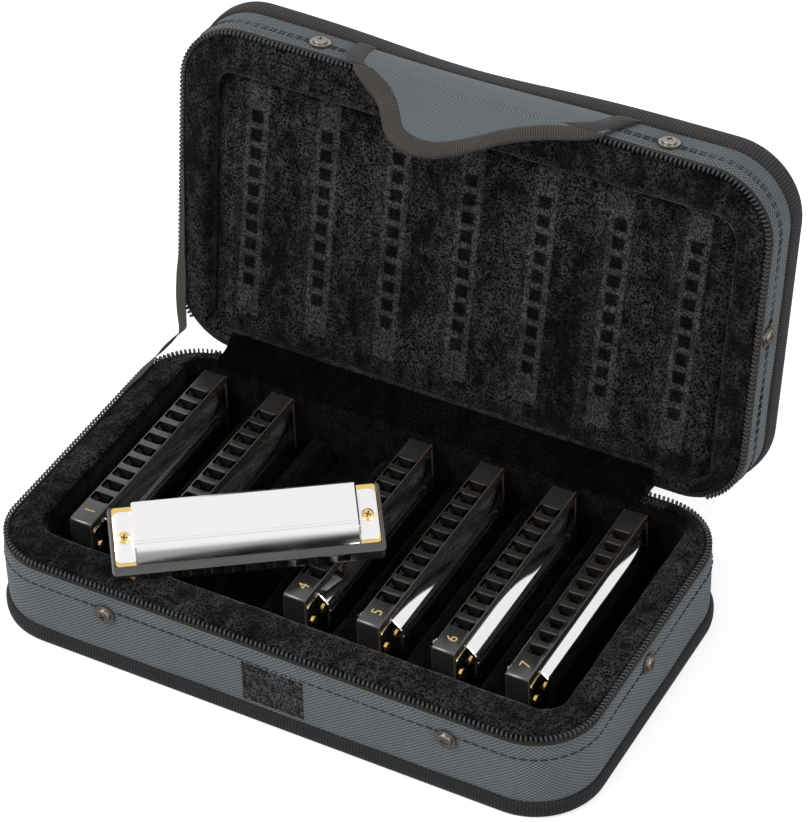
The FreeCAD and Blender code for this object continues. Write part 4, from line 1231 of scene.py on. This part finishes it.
strap, places = grid("stay_strap_webbing", 4, 90)
share = (places[:, 1] + 0.5) * (len(way) - 1)
passed = np.column_stack([np.interp(share, range(len(way)), column) for column in way.T])
put_points(strap, passed[:, :3] + passed[:, 3:] * (places[:, :1] * 2))
walk = np.concatenate([[0], np.cumsum(np.linalg.norm(np.diff(way[:, :3], axis=0), axis=1))])
lay_uv(strap, np.column_stack([np.interp(share, range(len(way)), walk), places[:, 0] * 6 + 10]))
finish_with(strap, "SMOOTH", factor=0.5, iterations=6)
thickened(strap, 0.4)
dress(smooth(outward(strap), 60), webbing, None, "stay_strap", slot="webbing")
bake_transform(strap)
print("stay strap", round(float(walk[-1])), "mm long")

# %% [markdown]
# ## The harmonica
# All seven are the same model: a black comb with ten channels, a brass plate on each side, and
# two chromed covers held by brass screws. One is modelled in its own frame (X across, Y along,
# Z from the back to the mouthpiece) and copied to its seven places.

# %% Comb
LONG, DEPTH, COMB, CORE, HOLES, HOLE_DEEP = 50.8, 27.0, 4.7, 3.2, 7.8, 20.0
END_CUT, LIP = LONG - 1.3, 23.6
comb = block("comb", (0, 0, DEPTH / 2), (COMB * 2, LONG * 2, DEPTH))
edit(comb)
choose(comb, lambda p, d: abs(d.x) > 5 and abs(p.y) > 50)
rounded(1.6, 4)
cuts = [((0, side * END_CUT, 0), (0, 1, 0)) for side in (-1, 1)]
cuts += [((0, 0, LIP), (0, 0, 1)), ((2.9, 0, 0), (1, 0, 0)), ((-2.9, 0, 0), (1, 0, 0))]
cuts += [((0, (n - 4.5) * HOLES + side * 2.45, 0), (0, 1, 0))
         for n in range(10) for side in (-1, 1)]
for place, normal in cuts:
    choose_all()
    bpy.ops.mesh.bisect(plane_co=tuple(c * MM for c in place), plane_no=normal)
choose(comb, lambda p, d: d.z > 0.9 and abs(p.x) < 2.8 and abs(p.y) < 38
       and abs((p.y + 10 * HOLES) % HOLES - HOLES / 2) < 2.2, "FACE")
drawn(0, 0, -HOLE_DEEP, tool=bpy.ops.mesh.extrude_region_move)
for side in (-1, 1):
    choose(comb, lambda p, d: d.x * side > 0.9 and abs(p.y) < END_CUT and p.z < LIP, "FACE")
    drawn(side * (CORE - COMB), 0, 0, tool=bpy.ops.mesh.extrude_region_move)
choose_all()
bpy.ops.mesh.dissolve_limited(angle_limit=math.radians(1))
outward(comb)
for material in (comb_plastic, comb_edge_highlight, comb_channel_shade):
    comb.data.materials.append(material)
# The channels' inner walls get the near-black plastic: painted shade inside the holes.
tint(comb, 2, lambda p, n: abs(p.x) < 2.95 and abs(p.y) < 38 and 6.9 < p.z < 26.9)
# The bevels get the paler plastic: painted highlights on the edges and the rims of the holes.
finish_with(comb, "BEVEL", width=0.3 * MM, segments=2, limit_method="ANGLE",
            angle_limit=math.radians(40), material=1)
smooth(comb, 30)
tell(comb)

# %% Reed plates
PLATE_X, PLATE_Z, PLATE = 3.66, 11.8, (0.88, 98.7, 23.3)
plates = []
for side in (-1, 1):
    plate = block("plate", (side * PLATE_X, 0, PLATE_Z), PLATE)
    edit(plate)
    choose(plate, lambda p, d: abs(d.x) > 0.5 and abs(d.y) < 0.1 and abs(d.z) < 0.1)
    rounded(1.2, 3)
    calm()
    plates.append(plate)
plates = smooth(soft_edges(joined("plates", plates), 0.12, 1), 30)
tell(plates)

# %% [markdown]
# A cover is one strip of sheet steel: a short foot under the comb's lip, a slightly rounded
# slope, a ridge, and a long flat side with two pressed grooves near the ridge. The ends are
# closed by drawing the end profile in to the plate, and a tab with a screw lies beyond each.

# %% Covers
COVER = [(4.15, 23.25), (4.7, 23.3), (4.95, 23.15), (5.6, 22.68), (6.23, 22.19), (6.84, 21.67),
         (7.43, 21.13), (8.0, 20.57), (8.54, 19.98), (9.05, 19.36), (9.53, 18.73), (9.74, 18.4),
         (9.8, 18.0), (9.8, 17.4), (9.66, 17.25), (9.66, 17.0), (9.8, 16.85), (9.8, 16.3),
         (9.68, 16.15), (9.68, 15.9), (9.8, 15.75), (9.62, 2.4), (9.5, 1.3), (9.15, 0.8),
         (8.4, 0.7)]
COVER_LONG, FOOT, TAB, TAB_LONG = 82.0, COVER[0][0], (4.42, 44.9, 12.2), 20.0
sides = []
for side in (-1, 1):
    cover = strip("cover", [(-side * a, z) for a, z in COVER], COVER_LONG, (3,))
    edit(cover)
    for end, out in ((0.0, -0.35), (COVER_LONG, 0.35)):
        choose(cover, lambda p, d: abs(p.x - end) < 0.01, "VERT")
        drawn(out, 0, 0)
        scaled((1, 0.955, 0.985), (end, -side * FOOT, 9))
        drawn(0, 0, 0)
        scaled((1, 0, 1), (0, -side * FOOT, 0))
    calm()
    cover.data.transform(spin(math.pi / 2, "Z") @ at(-COVER_LONG / 2, 0, 0))
    sides.append(thickened(outward(cover), 0.45, -1))
    for end in (-1, 1):
        tab = block("tab", (side * TAB[0], end * TAB[1], TAB[2]), (0.5, 8.4, TAB_LONG))
        edit(tab)
        choose(tab, lambda p, d: abs(d.x) > 0.3 and abs(p.y) > 46)
        rounded(2.2, 5)
        calm()
        sides.append(soft_edges(tab, 0.14, 2))
covers = smooth(joined("covers", sides), 28)
tell(covers)

# %% Screws and numbers
SCREW_Y, SCREW_Z, DIGIT = 45.3, 12.5, 6.2
screws = []
for side in (-1, 1):
    for end in (-1, 1):
        head = disc("head", 28, 2.3, 0.7, 5.0, (0.35, 0.22), (0.6, 0.14))
        calm()
        cross_cut(head, 2.5, 0.5, 5.6, 0.8)
        head.data.materials.append(brass)
        head.data.materials.append(dark_metal_and_slot_shade)
        # The bottom of the cross slot gets the dark metal: painted shade in the slot.
        tint(head, 1, lambda p, n: n.z > 0.9 and p.z < 5.3 and p.xy.length < 1.5)
        head.data.transform(at(0, end * SCREW_Y, SCREW_Z) @ spin(side * math.pi / 2, "Y")
                            @ spin(0.5 + end * 0.7, "Z"))
        screws.append(head)
small_screws = smooth(outward(joined("small_screws", screws)), 35)


def number_plate(number):
    calm()
    bpy.ops.object.text_add()
    text = bpy.context.object.data
    text.body = str(number)
    text.size, text.extrude = DIGIT * MM, 0.03 * MM
    text.align_x = text.align_y = "CENTER"
    bpy.ops.object.convert(target="MESH")
    made = named("number")
    made.data.transform(at(0.2, -43.6, DEPTH + 0.02) @ spin(math.pi / 2, "Z"))
    return made


# %% [markdown]
# Six harmonicas stand in the tray, the last one leaning a little. The third lies across its
# neighbours, so it gets three axes of its own and its middle is put where it rests.

# %% Seven places
ORGAN_Y, ORGAN_Z, LOOSE, LEANING, LEAN = 11.9, 7.2, 3, 7, math.radians(-2.2)
YAW, TILT, REST = math.radians(35.4), math.radians(29.54), Vector((-32.0, -26.3, 45.245))


def organ_place(number):
    if number != LOOSE:
        upright = at(FIRST + PITCH * (number - 1), ORGAN_Y, ORGAN_Z)
        return upright @ spin(LEAN if number == LEANING else 0.0, "Y")
    cy, sy, ct, st = math.cos(YAW), math.sin(YAW), math.cos(TILT), math.sin(TILT)
    mouth = Vector((sy * ct, -cy * ct, -st))
    turned = Matrix(((-sy * st, cy * st, -ct), (cy, sy, 0), mouth)).transposed()
    return Matrix.Translation((REST - mouth * DEPTH / 2) * MM) @ turned.to_4x4()


for number in range(1, 8):
    place, body = organ_place(number), "organ%d" % number
    for source, word, material, slot in (
            (comb, "comb", None, "comb_plastic"),
            (plates, "reed_plates", brass, "reed_brass"),
            (covers, "covers", handled_chrome if number == LOOSE else chrome, "cover_steel"),
            (small_screws, "screws", None, "reed_brass")):
        made = copy_of(source, "%s_%s_finished" % (body, word), place)
        dress(made, material, body, "%s_%s" % (body, word), slot=slot)
    plate = number_plate(number)
    plate.data.transform(place)
    plate.name = plate.data.name = body + "_number"
    dress(plate, gold_ink, body)
for source in (comb, plates, covers, small_screws):
    bpy.data.objects.remove(source)
print("seven harmonicas")

# %% [markdown]
# ## The zip slider
# The slider waits behind the left end of the zip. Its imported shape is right, so it keeps it
# and only gets its dark metal.

for name in ("zip_slider", "zip_pull"):
    dress(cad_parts[name], dark_metal_and_slot_shade, None)
